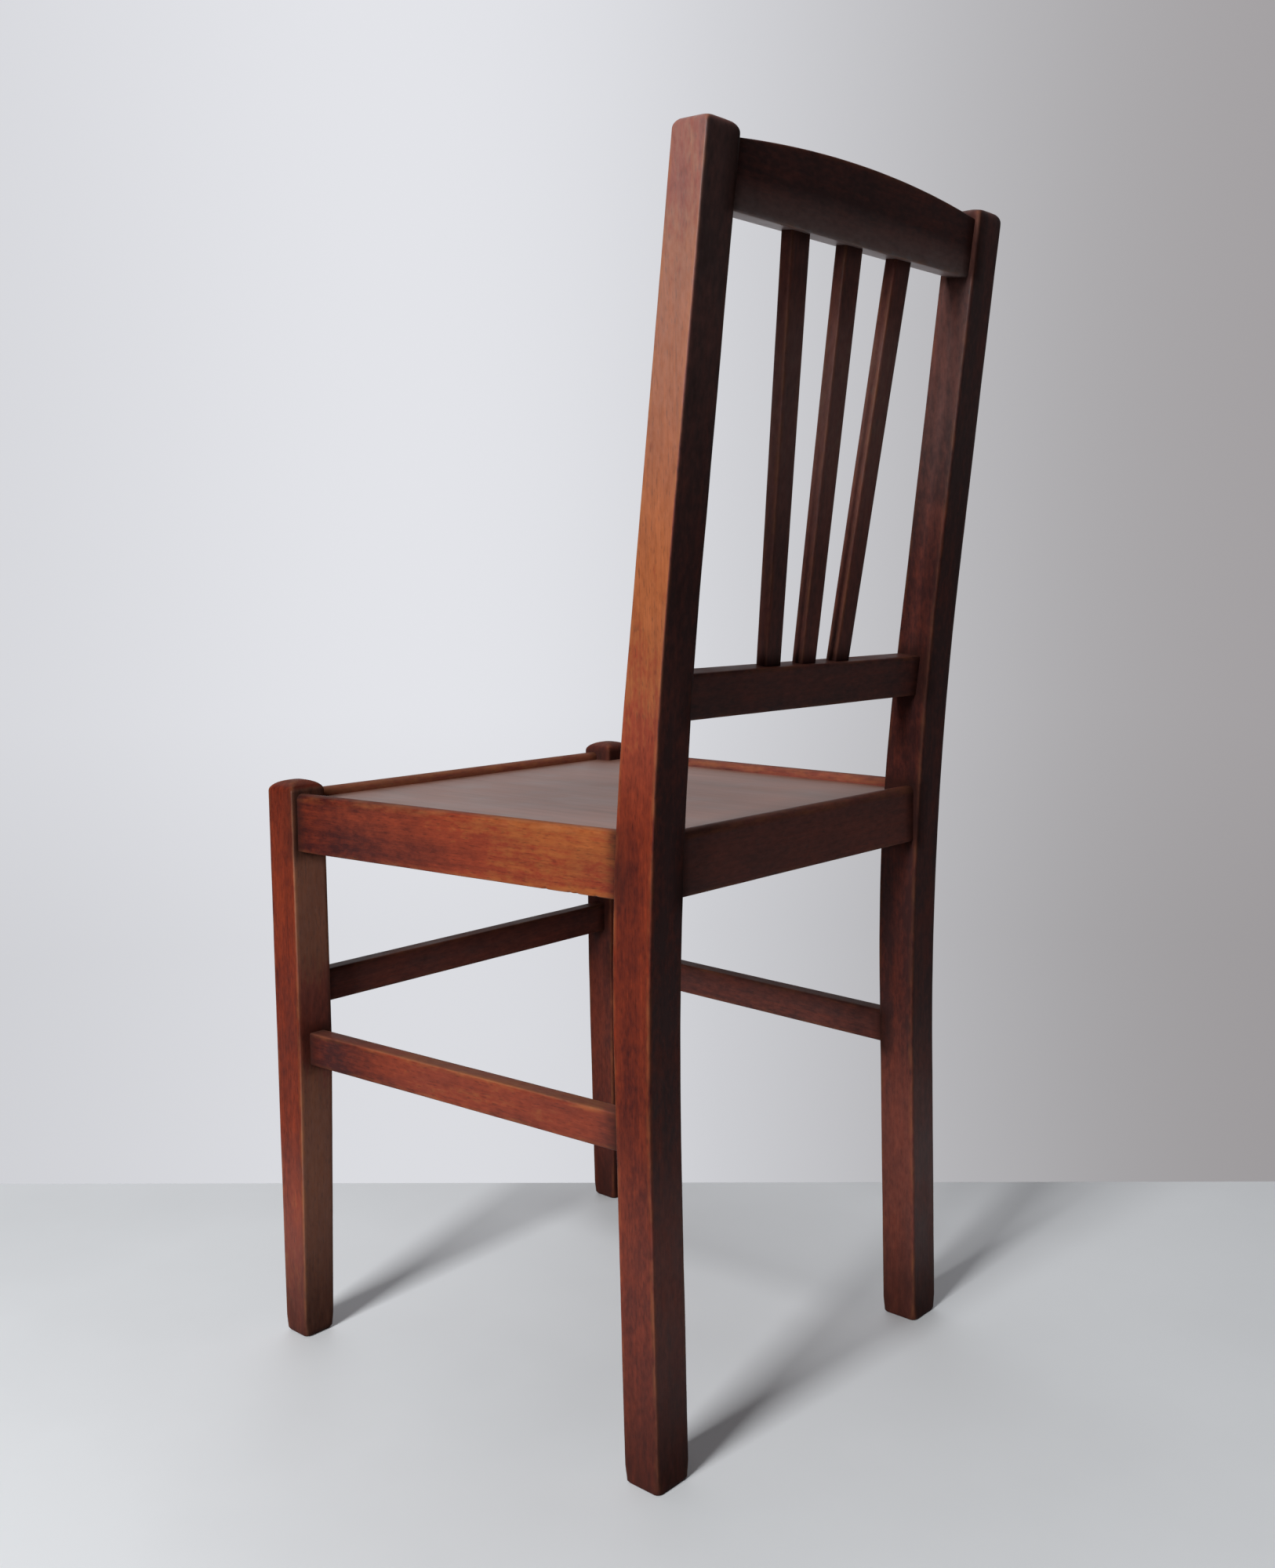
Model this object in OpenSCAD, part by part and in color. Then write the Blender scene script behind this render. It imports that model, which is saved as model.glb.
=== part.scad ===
// Bistro chair in stained beech: two bent rear posts, two front legs, a boxed seat frame
// that holds a plywood panel, a slatted back and three stretchers.
// The chair faces -Y, +Z is up and +X is the sitter's left. Millimetres.
// The origin lies on the floor, in the middle of the chair's outline.
// Inside this file lengths along Y are counted from the front face of the front legs,
// and place() moves each finished piece to the origin.

/* [Rear posts] */
// Height of the rear posts, floor to crown
post_h = 887; // [850:1:940]
// Half the distance over the outer faces of the two posts
post_half_span = 177.5; // [165:0.5:190]
// Width of a post, seen from behind
post_w = 32.7; // [29:0.1:36]
// Rear face of a post at the floor, behind the front of the front legs
post_foot_y = 386.5; // [360:0.5:410]
// Depth of a post at the floor
post_foot_d = 30; // [27:0.1:33]
// Lean of the rear face below the bend, degrees forward
foot_lean_rear = 0.99; // [0.8:0.01:1.2]
// Lean of the front face below the bend, degrees forward
foot_lean_front = 1.09; // [0.9:0.01:1.4]
// Lean of the rear face above the bend, degrees backward
rake_rear = 7.05; // [6.5:0.05:8]
// Lean of the front face above the bend, degrees backward
rake_front = 7.26; // [6.5:0.05:8]
// Height where the rear face starts to bend
bend_rear_start = 212; // [190:1:240]
// Height where the rear face is straight again
bend_rear_end = 623; // [600:1:650]
// Height where the front face starts to bend
bend_front_start = 290; // [270:1:310]
// Height where the front face is straight again
bend_front_end = 534; // [515:1:555]
// Height of the rounding at the top of a post
post_crown_h = 7.5; // [5:0.5:10]
// What the wear at a post's top adds to the easing of its long edges
post_top_wear = 3; // [0:0.5:5]
// Rise of the slight crown on the top of a post
post_crown_rise = 1.5; // [0.5:0.25:2.5]
// How much lower the rear edge of a post's top lies than its front edge
post_top_fall = 1.5; // [0:0.25:4]
// Rounding of a post's top towards the outside
post_top_outer_r = 4.5; // [2:0.5:7]
// Rounding of a post's top towards the back rest
post_top_inner_r = 7.5; // [4:0.5:10]
// Rounding of a post's top towards the front
post_top_front_r = 4.5; // [2:0.5:6]
// Rounding of a post's top towards the rear
post_top_rear_r = 2.5; // [1:0.5:5]

/* [Front legs] */
// Half the distance over the outer faces of the two front legs
leg_half_span = 199; // [192:0.5:210]
// How far the front legs' domes stand above the seat rails
leg_rise = 9.5; // [9:0.5:14]
// Width of a front leg above the knee
leg_w = 32; // [28:0.5:34]
// Depth of a front leg above the knee
leg_d = 31.2; // [30:0.1:34]
// Width of a front leg at the floor
leg_foot_w = 27.8; // [22:0.1:29]
// Depth of a front leg at the floor
leg_foot_d = 26.4; // [22:0.1:28]
// Height of the knee where the taper starts
knee_h = 239; // [200:1:260]
// Rise of the domed top of a front leg
leg_dome_h = 8.5; // [5:0.5:9]
// Flat left on the top of the dome
leg_dome_flat = 4; // [2:0.5:8]

/* [Edges] */
// Easing of the long edges of posts and legs
arris_r = 1.25; // [1:0.25:3]
// Break of the edges under the rear feet
post_foot_break = 1.5; // [1:0.5:4]
// Break of the edges under the front feet
leg_foot_break = 2.5; // [1:0.5:4]
// Easing of the long edges where they end at the floor
foot_arris_r = 3.5; // [2:0.5:5]
// Height over which the long edges widen to that easing
foot_wear_h = 14; // [10:1:24]
// Easing of the edges of the stretchers and back rails
rail_arris_r = 1.25; // [1:0.25:3]

/* [Seat frame] */
// Height of the top of the front and side seat rails
seat_top = 447; // [435:1:460]
// Depth of the seat rails from top to bottom
rail_h = 46; // [42:0.5:50]
// Thickness of the seat rails
rail_t = 22; // [20:0.5:24]
// Step of the side rails in from the outer faces of legs and posts
side_rail_inset = 4; // [2:0.5:5]
// Step of the front rail behind the front face of the legs
front_rail_inset = 4.2; // [2:0.2:5]
// Step of the rear rail in front of the rear face of the posts
rear_rail_inset = 4.5; // [3:0.5:7]
// How far the rear rail's top lies under the other rails' tops
rear_rail_drop = 1.5; // [0:0.5:2]
// Width of the rounded lip round the seat panel
lip_w = 11; // [10:0.5:13]
// How far the lip stands above the seat panel
lip_h = 7; // [5:0.5:8]
// Rounding of the lip's two edges
lip_r = 4.5; // [3:0.5:4.5]
// Rounding of the seat rails' lower edges
rail_bottom_r = 1; // [0.5:0.5:3]

/* [Seat panel] */
// Thickness of the plywood seat panel
panel_t = 5; // [4:0.5:7]
// Gap round the edge of the seat panel
panel_gap = 0.3; // [0.2:0.1:1]

/* [Back rest] */
// Height of the lower back rail's upper rear edge above the seat rails
low_rail_rise = 102; // [80:1:120]
// Depth of the lower back rail from top to bottom
low_rail_h = 31.5; // [26:0.5:34]
// Thickness of the lower back rail
low_rail_t = 18; // [16:0.5:20]
// Step of the lower back rail in front of the posts' rear face
low_rail_inset = 8.5; // [6:0.5:10]
// Distance from the posts' tops down to the crest rail's lower rear edge
crest_drop = 52; // [48:0.5:80]
// Depth of the crest rail at its two ends
crest_end_h = 42.5; // [36:0.5:44]
// Rise of the crest rail's arched top
crest_rise = 9; // [5:0.5:10]
// Thickness of the crest rail
crest_t = 19; // [17:0.5:20]
// Step of the crest rail in front of the posts' rear face
crest_inset = 4; // [3:0.5:6]
// Thickness of the back slats
slat_t = 9; // [6.5:0.5:10]
// Width of a slat at the lower rail
slat_foot_w = 17.5; // [16:0.5:22]
// Width of a slat at the crest rail
slat_top_w = 20.7; // [18:0.1:24]
// Distance between slat centres at the lower rail
slat_foot_pitch = 42.6; // [38:0.2:50]
// Distance between slat centres at the crest rail
slat_top_pitch = 62.5; // [54:0.5:70]
// Easing of the long edges of the slats
slat_arris_r = 1; // [0.5:0.25:2.5]

/* [Stretchers] */
// Height of the top of the side stretchers
side_bar_z = 253.6; // [245:0.1:260]
// Height of the top of the front stretcher
front_bar_z = 299.2; // [292:0.2:330]
// Depth of the stretchers from top to bottom
bar_h = 26.4; // [23:0.2:28]
// Thickness of the stretchers
bar_t = 14; // [12:0.5:16]
// Step of the side stretchers in from the outer faces of legs and posts
side_bar_inset = 9; // [7:0.5:11]
// Step of the front stretcher behind the front face of the legs
front_bar_inset = 8.3; // [6:0.1:10]

/* [Joints] */
// Thickness of the seat rails' tenons
seat_tenon_t = 8; // [6:0.5:10]
// Shoulder under the seat rails' tenons
seat_shoulder_low = 4; // [3:0.5:6]
// Shoulder over the seat rails' tenons, below the seat panel's ledge
seat_shoulder_high = 4; // [3:0.5:6]
// Distance between the mitred ends of two tenons that meet in a leg or post
mitre_gap = 0.4; // [0.2:0.1:1]
// Length of the back rails' tenons in the posts
back_tenon_l = 16; // [10:0.5:20]
// Thickness of the back rails' tenons
back_tenon_t = 8; // [6:0.5:10]
// Shoulder above and below the back rails' tenons
back_shoulder = 5; // [4:0.5:8]
// Length of the stretchers' tenons
bar_tenon_l = 13; // [8:0.5:14]
// Thickness of the stretchers' tenons
bar_tenon_t = 7; // [6:0.5:8]
// Shoulder above and below the stretchers' tenons
bar_shoulder = 4; // [3:0.5:6]
// Length of the slats' tenons in the back rails
slat_tenon_l = 10; // [6:0.5:14]
// Shoulder round a slat's tenon
slat_shoulder = 1; // [0.75:0.25:1.5]
// Space left round a tenon, on each side
tenon_play = 0.1; // [0.05:0.05:0.3]
// Space left for glue past the end of a tenon
glue_space = 0.8; // [0.4:0.2:1.6]

/* [Corner blocks] */
// Length of a corner block along each rail
block_leg = 46; // [42:1:56]
// Height of a corner block
block_h = 26; // [22:1:28]
// Thickness of a corner block at its two ends
block_nose = 6; // [4:0.5:10]
// Gap between a corner block and the leg or post that it reaches round
block_gap = 0.5; // [0.2:0.1:1]
// Diameter of the corner block screws
screw_d = 4; // [3:0.5:4.5]
// Length of the corner block screws under the head
screw_l = 28; // [24:1:30]
// Diameter of the screw heads
screw_head_d = 7.6; // [7:0.2:9]
// Height of the screw heads
screw_head_h = 2.6; // [2:0.2:3]
// Wood left under a screw head in the block
screw_seat = 13; // [11:0.5:15]
// Distance of a screw from the end of its block
screw_edge = 16; // [14:0.5:20]
// Space left round a screw, on each side
screw_play = 0.05; // [0.05:0.05:0.2]

/* [Hidden] */
$fn = 48;

// Colours of the stained, bare and plywood parts and of the screws
wood_lit = "#8a4a2b";
wood_mid = "#6f3a24";
wood_dark = "#4a2a20";
wood_bare = "#c9a26f";
ply_stain = "#8d776c";
screw_steel = "#9a9a94";

// Facets of a loft's corners, bends and crowns, and of the crest's arch
corner_steps = 4;
bend_steps = 16;
crown_steps = 6;
arch_fn = 720;
// The largest share of a section's side that the rounding of one corner takes
corner_share = 0.49;
// Bend levels closer than this to the seat rails are left out
level_space = 8;
// A crown's last step in from the rounded edges
crown_step = 5;
// How far a cutting shape runs on past the face that it cuts
over = 1;
// How far a subtracted head bore runs on past the block
bore_reach = 60;

// A line with slope s0 up to za, slope s1 from zb on, and an even turn between them
function bent(z, y0, s0, s1, za, zb) =
    y0 + s0 * z
    + (s1 - s0) / (zb - za) * pow(min(max(z - za, 0), zb - za), 2) / 2
    + (s1 - s0) * max(z - zb, 0);

// Rear and front face of a post at height z
function post_rear(z) =
    bent(z, post_foot_y, -tan(foot_lean_rear), tan(rake_rear), bend_rear_start, bend_rear_end);
function post_front(z) =
    bent(z, post_foot_y - post_foot_d, -tan(foot_lean_front), tan(rake_front),
         bend_front_start, bend_front_end);

// Taper of a front leg: full size above the knee, foot size at the floor
function knee_mix(z) = min(max(z / knee_h, 0), 1);
function leg_inner(z) = leg_half_span - leg_foot_w - (leg_w - leg_foot_w) * knee_mix(z);
function leg_rear(z) = leg_foot_d + (leg_d - leg_foot_d) * knee_mix(z);

post_inner = post_half_span - post_w;
leg_full_inner = leg_half_span - leg_w;
leg_h = seat_top + leg_rise;

// Where the rounding of a post's top starts on its front and on its rear face
post_top_slope = post_top_fall / (post_rear(post_h) - post_front(post_h));
neck_front = post_h - post_crown_h + post_top_front_r * post_top_slope;
neck_rear = neck_front - post_top_fall;
overall_d = post_rear(neck_rear);

rail_bottom = seat_top - rail_h;
ledge = seat_top - lip_h - panel_t;
rear_rail_y = post_rear((seat_top + rail_bottom) / 2) - rear_rail_inset;
tenon_low = rail_bottom + seat_shoulder_low;
tenon_high = ledge - seat_shoulder_high;

// Side pieces run from the middle of a front leg to the middle of a post
side_dy = (post_front(seat_top) + post_rear(seat_top)) / 2 - leg_d / 2;
side_angle = atan2(leg_half_span - post_half_span, side_dy);

// Where a side piece's line at local x = l meets the height line at y, along the piece
function side_at(y, l) = (y - leg_d / 2 - l * sin(side_angle)) / cos(side_angle);
// Place across the chair of that same point
function side_x(inset, l, y) =
    leg_half_span - inset + l * cos(side_angle) - side_at(y, l) * sin(side_angle);

// Crossings of the tenons' middle lines in the front leg and in the post
side_mid = -rail_t / 2;
front_mid_y = front_rail_inset + rail_t / 2;
rear_mid_y = rear_rail_y - rail_t / 2;
front_cross_x = side_x(side_rail_inset, side_mid, front_mid_y);
rear_cross_x = side_x(side_rail_inset, side_mid, rear_mid_y);

// The back rest's own frame starts in the middle of the lower rail's top face
low_rail_z = seat_top + low_rail_rise;
crest_z = post_h - crest_drop;
low_rear_y = post_rear(low_rail_z) - low_rail_inset;
crest_rear_y = post_rear(crest_z) - crest_inset;
back_rake = atan2(
    crest_rear_y - crest_t / 2 - low_rear_y + low_rail_t / 2,
    crest_z - low_rail_z
);
back_y = low_rear_y - low_rail_t / 2 * cos(back_rake);
back_z = low_rail_z + low_rail_t / 2 * sin(back_rake);
slat_l = (crest_z + crest_t / 2 * sin(back_rake) - back_z) / cos(back_rake);
arch_r = (pow(post_inner, 2) + pow(crest_rise, 2)) / (2 * crest_rise);
crest_h = crest_end_h + crest_rise;

// Insides of the seat frame's corners, and the blocks' places
side_dir = [-sin(side_angle), cos(side_angle)];
side_in = [-cos(side_angle), -sin(side_angle)];
block_front_y = front_rail_inset + rail_t;
block_rear_y = rear_rail_y - rail_t;
block_front = [side_x(side_rail_inset, -rail_t, block_front_y), block_front_y];
block_rear = [side_x(side_rail_inset, -rail_t, block_rear_y), block_rear_y];
block_screw = block_leg - screw_edge;
block_mid_z = ledge - block_h / 2;

module place() {
    translate([0, -overall_d / 2, 0])
        children();
}

module right_side() {
    mirror([1, 0, 0])
        children();
}

module both_sides() {
    children();
    right_side()
        children();
}

// Lofted pieces

// One section: front y, front z, rear y, rear z, inner x, outer x, corner radius
function section(yf, zf, yr, zr, xi, xo, r) = [yf, zf, yr, zr, xi, xo, r];

// Corner points of a section, counter-clockwise seen from above
function ring(s) =
    let (d = norm([s[2] - s[0], s[3] - s[1]]), w = s[5] - s[4])
    let (r = min(s[6], d * corner_share, w * corner_share))
    let (corners = [
        [s[5] - r, d - r, 0],
        [s[4] + r, d - r, 90],
        [s[4] + r, r, 180],
        [s[5] - r, r, 270]
    ])
    [
        for (c = corners, i = [0 : corner_steps])
            let (a = c[2] + 90 * i / corner_steps)
            let (t = (c[1] + r * sin(a)) / d)
            [c[0] + r * cos(a), s[0] + (s[2] - s[0]) * t, s[1] + (s[3] - s[1]) * t]
    ];

module loft(sections) {
    n = 4 * (corner_steps + 1);
    top = (len(sections) - 1) * n;
    points = [for (s = sections) each ring(s)];
    walls = [
        for (k = [0 : len(sections) - 2], i = [0 : n - 1])
            let (a = k * n + i, b = k * n + (i + 1) % n)
            each [[a, a + n, b + n], [a, b + n, b]]
    ];
    caps = [[for (i = [0 : n - 1]) i], [for (i = [n - 1 : -1 : 0]) top + i]];
    polyhedron(points, concat(caps, walls));
}

// Sections of boards

// What a rounding of radius r takes off a corner at the origin
module corner_waste(r) {
    difference() {
        translate([-over, -over])
            square(r + over);
        translate([r, r])
            circle(r);
    }
}

// A board's section with its four corners eased
module eased(w, h, r) {
    difference() {
        square([w, h]);
        corner_waste(r);
        translate([w, 0])
            rotate(90)
                corner_waste(r);
        translate([w, h])
            rotate(180)
                corner_waste(r);
        translate([0, h])
            rotate(270)
                corner_waste(r);
    }
}

// A seat rail's section: outer face on x = 0, body towards -x, lip up to the height top
module rail_section(top) {
    difference() {
        polygon([
            [0, 0], [0, top - rail_bottom],
            [-lip_w, top - rail_bottom], [-lip_w, ledge - rail_bottom],
            [-rail_t, ledge - rail_bottom], [-rail_t, 0]
        ]);
        translate([-rail_t, 0])
            corner_waste(rail_bottom_r);
        rotate(90)
            corner_waste(rail_bottom_r);
        translate([0, top - rail_bottom])
            rotate(180)
                corner_waste(lip_r);
        translate([-lip_w, top - rail_bottom])
            rotate(270)
                corner_waste(lip_r);
    }
}

// Draws a section in x and z and runs it along +y
module along_y(l) {
    translate([0, l, 0])
        rotate([90, 0, 0])
            linear_extrude(l)
                children();
}

// Draws a section in y and z and runs it across the chair, from -half to +half
module across(half) {
    translate([-half, 0, 0])
        rotate([90, 0, 90])
            linear_extrude(2 * half)
                children();
}

// Rear posts

function post_level(z, in, r) =
    section(
        post_front(z) + in, z, post_rear(z) - in, z,
        post_inner + in, post_half_span - in, r
    );

// Rounded edges of the top, for t from 0 to 1
function post_round(t) =
    let (up = (post_crown_h - post_crown_rise) * sin(90 * t), in = 1 - cos(90 * t))
    section(
        post_front(neck_front) + up * tan(rake_rear) + post_top_front_r * in,
        neck_front + up - post_top_front_r * in * post_top_slope,
        post_rear(neck_rear) - post_top_rear_r * in,
        neck_rear + up + post_top_rear_r * in * post_top_slope,
        post_inner + post_top_inner_r * in,
        post_half_span - post_top_outer_r * in,
        arris_r + post_top_wear * in
    );

// The slight crown over the rounded edges
function post_crown(in) =
    let (s = post_round(1))
    section(
        s[0], s[1] + post_crown_rise,
        s[2] - in, s[3] + post_crown_rise,
        s[4] + in, s[5] - in, s[6]
    );

module post_body() {
    step = (bend_rear_end - bend_rear_start) / bend_steps;
    bend = [for (i = [0 : bend_steps]) bend_rear_start + i * step];
    levels = concat(
        [foot_wear_h],
        [for (z = bend) if (z < rail_bottom - level_space) z],
        [rail_bottom, seat_top],
        [for (z = bend) if (z > seat_top + level_space) z]
    );
    loft(concat(
        [post_level(0, post_foot_break, foot_arris_r)],
        [post_level(post_foot_break, 0, foot_arris_r)],
        [for (z = levels) post_level(z, 0, arris_r)],
        [for (i = [0 : crown_steps]) post_round(i / crown_steps)],
        [post_crown(crown_step)]
    ));
}

module rear_post() {
    difference() {
        post_body();
        side_seat_mortise();
        rear_seat_tenons(tenon_play, glue_space);
        side_bar_tenons(tenon_play, glue_space);
        back_frame() {
            low_rail_tenons(tenon_play, glue_space);
            crest_tenons(tenon_play, glue_space);
        }
    }
}

module rear_post_left() {
    color(wood_lit)
        place()
            rear_post();
}

module rear_post_right() {
    color(wood_dark)
        right_side()
            place()
                rear_post();
}

// Front legs

function leg_level(z, in, r) =
    section(in, z, leg_rear(z) - in, z, leg_inner(z) + in, leg_half_span - in, r);

function leg_dome(t) =
    let (z = leg_h - leg_dome_h * (1 - sin(90 * t)), in = 1 - cos(90 * t))
    let (dx = (leg_w - leg_dome_flat) / 2 * in, dy = (leg_d - leg_dome_flat) / 2 * in)
    section(dy, z, leg_d - dy, z, leg_full_inner + dx, leg_half_span - dx, arris_r + dx / 3);

module leg_body() {
    loft(concat(
        [leg_level(0, leg_foot_break, foot_arris_r)],
        [leg_level(leg_foot_break, 0, foot_arris_r)],
        [leg_level(foot_wear_h, 0, arris_r), leg_level(knee_h, 0, arris_r)],
        [for (i = [0 : crown_steps]) leg_dome(i / crown_steps)]
    ));
}

module front_leg() {
    difference() {
        leg_body();
        side_seat_mortise();
        front_seat_tenons(tenon_play, glue_space);
        side_bar_tenons(tenon_play, glue_space);
        front_bar_tenons(tenon_play, glue_space);
    }
}

module front_leg_left() {
    color(wood_lit)
        place()
            front_leg();
}

module front_leg_right() {
    color(wood_dark)
        right_side()
            place()
                front_leg();
}

// Seat frame

// The frame of a left side piece: outer face on x = 0, running along +y
module side_frame(inset) {
    translate([leg_half_span - inset, leg_d / 2, 0])
        rotate([0, 0, side_angle])
            children();
}

// The space between a front leg and a post from z0 to z1, up to their faces
module between_leg_and_post(z0, z1) {
    lean = (post_front(z1) - post_front(z0)) / (z1 - z0);
    knee = min(max(knee_h, z0), z1 - over);
    rotate([90, 0, 90])
        linear_extrude(leg_half_span + over)
            polygon([
                [leg_rear(z0 - over), z0 - over],
                [post_front(z0) - lean * over, z0 - over],
                [post_front(z1) + lean * over, z1 + over],
                [leg_rear(z1 + over), z1 + over],
                [leg_rear(knee), knee]
            ]);
}

// Ends of a side rail's tenons, cut at 45 degrees, along the face at local x = l
function front_mitre(l) =
    side_at(front_mid_y, side_mid)
    + (mitre_gap / sqrt(2) - (l - side_mid) * (cos(side_angle) + sin(side_angle)))
    / (cos(side_angle) - sin(side_angle));
function rear_mitre(l) =
    side_at(rear_mid_y, side_mid)
    + ((l - side_mid) * (cos(side_angle) - sin(side_angle)) - mitre_gap / sqrt(2))
    / (cos(side_angle) + sin(side_angle));

// Both tenons of a side rail in one bar that also runs through the rail
module side_seat_tenons() {
    inner = side_mid - seat_tenon_t / 2;
    outer = side_mid + seat_tenon_t / 2;
    side_frame(side_rail_inset)
        translate([0, 0, tenon_low])
            linear_extrude(tenon_high - tenon_low)
                polygon([
                    [inner, front_mitre(inner)], [outer, front_mitre(outer)],
                    [outer, rear_mitre(outer)], [inner, rear_mitre(inner)]
                ]);
}

// The mortises for them reach as far as the outer side of the tenon that comes across
module side_seat_mortise() {
    start = side_at(front_mid_y - seat_tenon_t / 2, side_mid) - glue_space;
    end = side_at(rear_mid_y + seat_tenon_t / 2, side_mid) + glue_space;
    side_frame(side_rail_inset)
        translate([
            side_mid - seat_tenon_t / 2 - tenon_play,
            start,
            tenon_low - tenon_play
        ])
            cube([
                seat_tenon_t + 2 * tenon_play,
                end - start,
                tenon_high - tenon_low + 2 * tenon_play
            ]);
}

// A cross rail's tenons with mitred ends, long on the side towards out = 1 or -1
module cross_seat_tenons(y, x, out, play, space) {
    long = x + seat_tenon_t / 2 - mitre_gap / sqrt(2) + space;
    short = space > 0 ? long : x - seat_tenon_t / 2 - mitre_gap / sqrt(2);
    y_long = y + out * (seat_tenon_t / 2 + play);
    y_short = y - out * (seat_tenon_t / 2 + play);
    translate([0, 0, tenon_low - play])
        linear_extrude(tenon_high - tenon_low + 2 * play)
            polygon([[-long, y_long], [long, y_long], [short, y_short], [-short, y_short]]);
}

module front_seat_tenons(play, space) {
    cross_seat_tenons(front_mid_y, front_cross_x, -1, play, space);
}

module rear_seat_tenons(play, space) {
    cross_seat_tenons(rear_mid_y, rear_cross_x, 1, play, space);
}

module side_seat_rail() {
    difference() {
        union() {
            intersection() {
                side_frame(side_rail_inset)
                    translate([0, 0, rail_bottom])
                        along_y(side_dy)
                            rail_section(seat_top);
                between_leg_and_post(rail_bottom, seat_top);
            }
            side_seat_tenons();
        }
        front_block_side()
            screw_bore();
        rear_block_side()
            screw_bore();
    }
}

module side_seat_rail_left() {
    color(wood_lit)
        place()
            side_seat_rail();
}

module side_seat_rail_right() {
    color(wood_mid)
        right_side()
            place()
                side_seat_rail();
}

module front_seat_rail() {
    color(wood_mid)
        place()
            difference() {
                union() {
                    translate([0, front_rail_inset, rail_bottom])
                        across(leg_full_inner)
                            mirror([1, 0])
                                rail_section(seat_top);
                    front_seat_tenons(0, 0);
                }
                both_sides()
                    front_block_front()
                        screw_bore();
            }
}

module rear_seat_rail() {
    color(wood_dark)
        place()
            difference() {
                union() {
                    translate([0, rear_rail_y, rail_bottom])
                        across(post_inner)
                            rail_section(seat_top - rear_rail_drop);
                    rear_seat_tenons(0, 0);
                }
                both_sides()
                    rear_block_rear()
                        screw_bore();
            }
}

// Seat panel

module leg_space(gap) {
    translate([leg_full_inner - gap, -over])
        square([leg_w + over, leg_d + gap + over]);
}

module post_space(gap) {
    translate([post_inner - gap, post_front(ledge) - gap])
        square([post_w + over, overall_d]);
}

module seat_panel() {
    front_y = front_rail_inset + lip_w + panel_gap;
    rear_y = rear_rail_y - lip_w - panel_gap;
    front_x = side_x(side_rail_inset, -lip_w - panel_gap, front_y);
    rear_x = side_x(side_rail_inset, -lip_w - panel_gap, rear_y);
    color(ply_stain)
        place()
            translate([0, 0, ledge])
                linear_extrude(panel_t)
                    difference() {
                        polygon([
                            [-front_x, front_y], [front_x, front_y],
                            [rear_x, rear_y], [-rear_x, rear_y]
                        ]);
                        both_sides() {
                            leg_space(panel_gap);
                            post_space(panel_gap);
                        }
                    }
}

// Back rest

module back_frame() {
    translate([0, back_y, back_z])
        rotate([-back_rake, 0, 0])
            children();
}

// Tenons of a back rail from z0 to z1 in one bar that also runs through the rail
module back_tenons(z0, z1, play, space) {
    half = post_inner + back_tenon_l + space;
    translate([-half, -back_tenon_t / 2 - play, z0 - play])
        cube([2 * half, back_tenon_t + 2 * play, z1 - z0 + 2 * play]);
}

module low_rail_tenons(play, space) {
    back_tenons(back_shoulder - low_rail_h, -back_shoulder, play, space);
}

module crest_tenons(play, space) {
    back_tenons(slat_l + back_shoulder, slat_l + crest_end_h - back_shoulder, play, space);
}

module lower_back_rail() {
    color(wood_mid)
        place()
            back_frame()
                difference() {
                    union() {
                        translate([0, -low_rail_t / 2, -low_rail_h])
                            across(post_inner)
                                eased(low_rail_t, low_rail_h, rail_arris_r);
                        low_rail_tenons(0, 0);
                    }
                    for (i = [-1 : 1])
                        slat_tenons(i, tenon_play, glue_space);
                }
}

// The arched top of the crest rail with its eased rim
module crest_arch() {
    depth = 2 * crest_h;
    translate([0, crest_t / 2, slat_l + crest_h - arch_r])
        rotate([90, 0, 0])
            rotate_extrude($fn = arch_fn)
                difference() {
                    translate([arch_r - depth, 0])
                        square([depth, crest_t]);
                    translate([arch_r, 0])
                        rotate(90)
                            corner_waste(rail_arris_r);
                    translate([arch_r, crest_t])
                        rotate(180)
                            corner_waste(rail_arris_r);
                }
}

module crest_rail() {
    color(wood_mid)
        place()
            back_frame()
                difference() {
                    union() {
                        intersection() {
                            translate([0, -crest_t / 2, slat_l])
                                across(post_inner)
                                    eased(crest_t, crest_h + 2 * rail_arris_r, rail_arris_r);
                            crest_arch();
                        }
                        crest_tenons(0, 0);
                    }
                    for (i = [-1 : 1])
                        slat_tenons(i, tenon_play, glue_space);
                }
}

// Middle and half width of slat i at height z of the back frame
function slat_mid(i, z) = i * (slat_foot_pitch + (slat_top_pitch - slat_foot_pitch) * z / slat_l);
function slat_half(z) = (slat_foot_w + (slat_top_w - slat_foot_w) * z / slat_l) / 2;

// A slat's two tenons stand upright, so that the back rest goes together in one push
module slat_tenons(i, play, space) {
    for (z = [0, slat_l])
        translate([
            slat_mid(i, z) - slat_half(z) + slat_shoulder - play,
            slat_shoulder - slat_t / 2 - play,
            z - slat_tenon_l - space
        ])
            cube([
                2 * (slat_half(z) - slat_shoulder + play),
                slat_t - 2 * slat_shoulder + 2 * play,
                2 * (slat_tenon_l + space)
            ]);
}

module slat(i) {
    place()
        back_frame() {
            loft([
                for (z = [0, slat_l])
                    section(
                        -slat_t / 2, z, slat_t / 2, z,
                        slat_mid(i, z) - slat_half(z), slat_mid(i, z) + slat_half(z), slat_arris_r
                    )
            ]);
            slat_tenons(i, 0, 0);
        }
}

module back_slat_left() {
    color(wood_lit)
        slat(1);
}

module back_slat_middle() {
    color(wood_lit)
        slat(0);
}

module back_slat_right() {
    color(wood_lit)
        slat(-1);
}

// Stretchers

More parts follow.
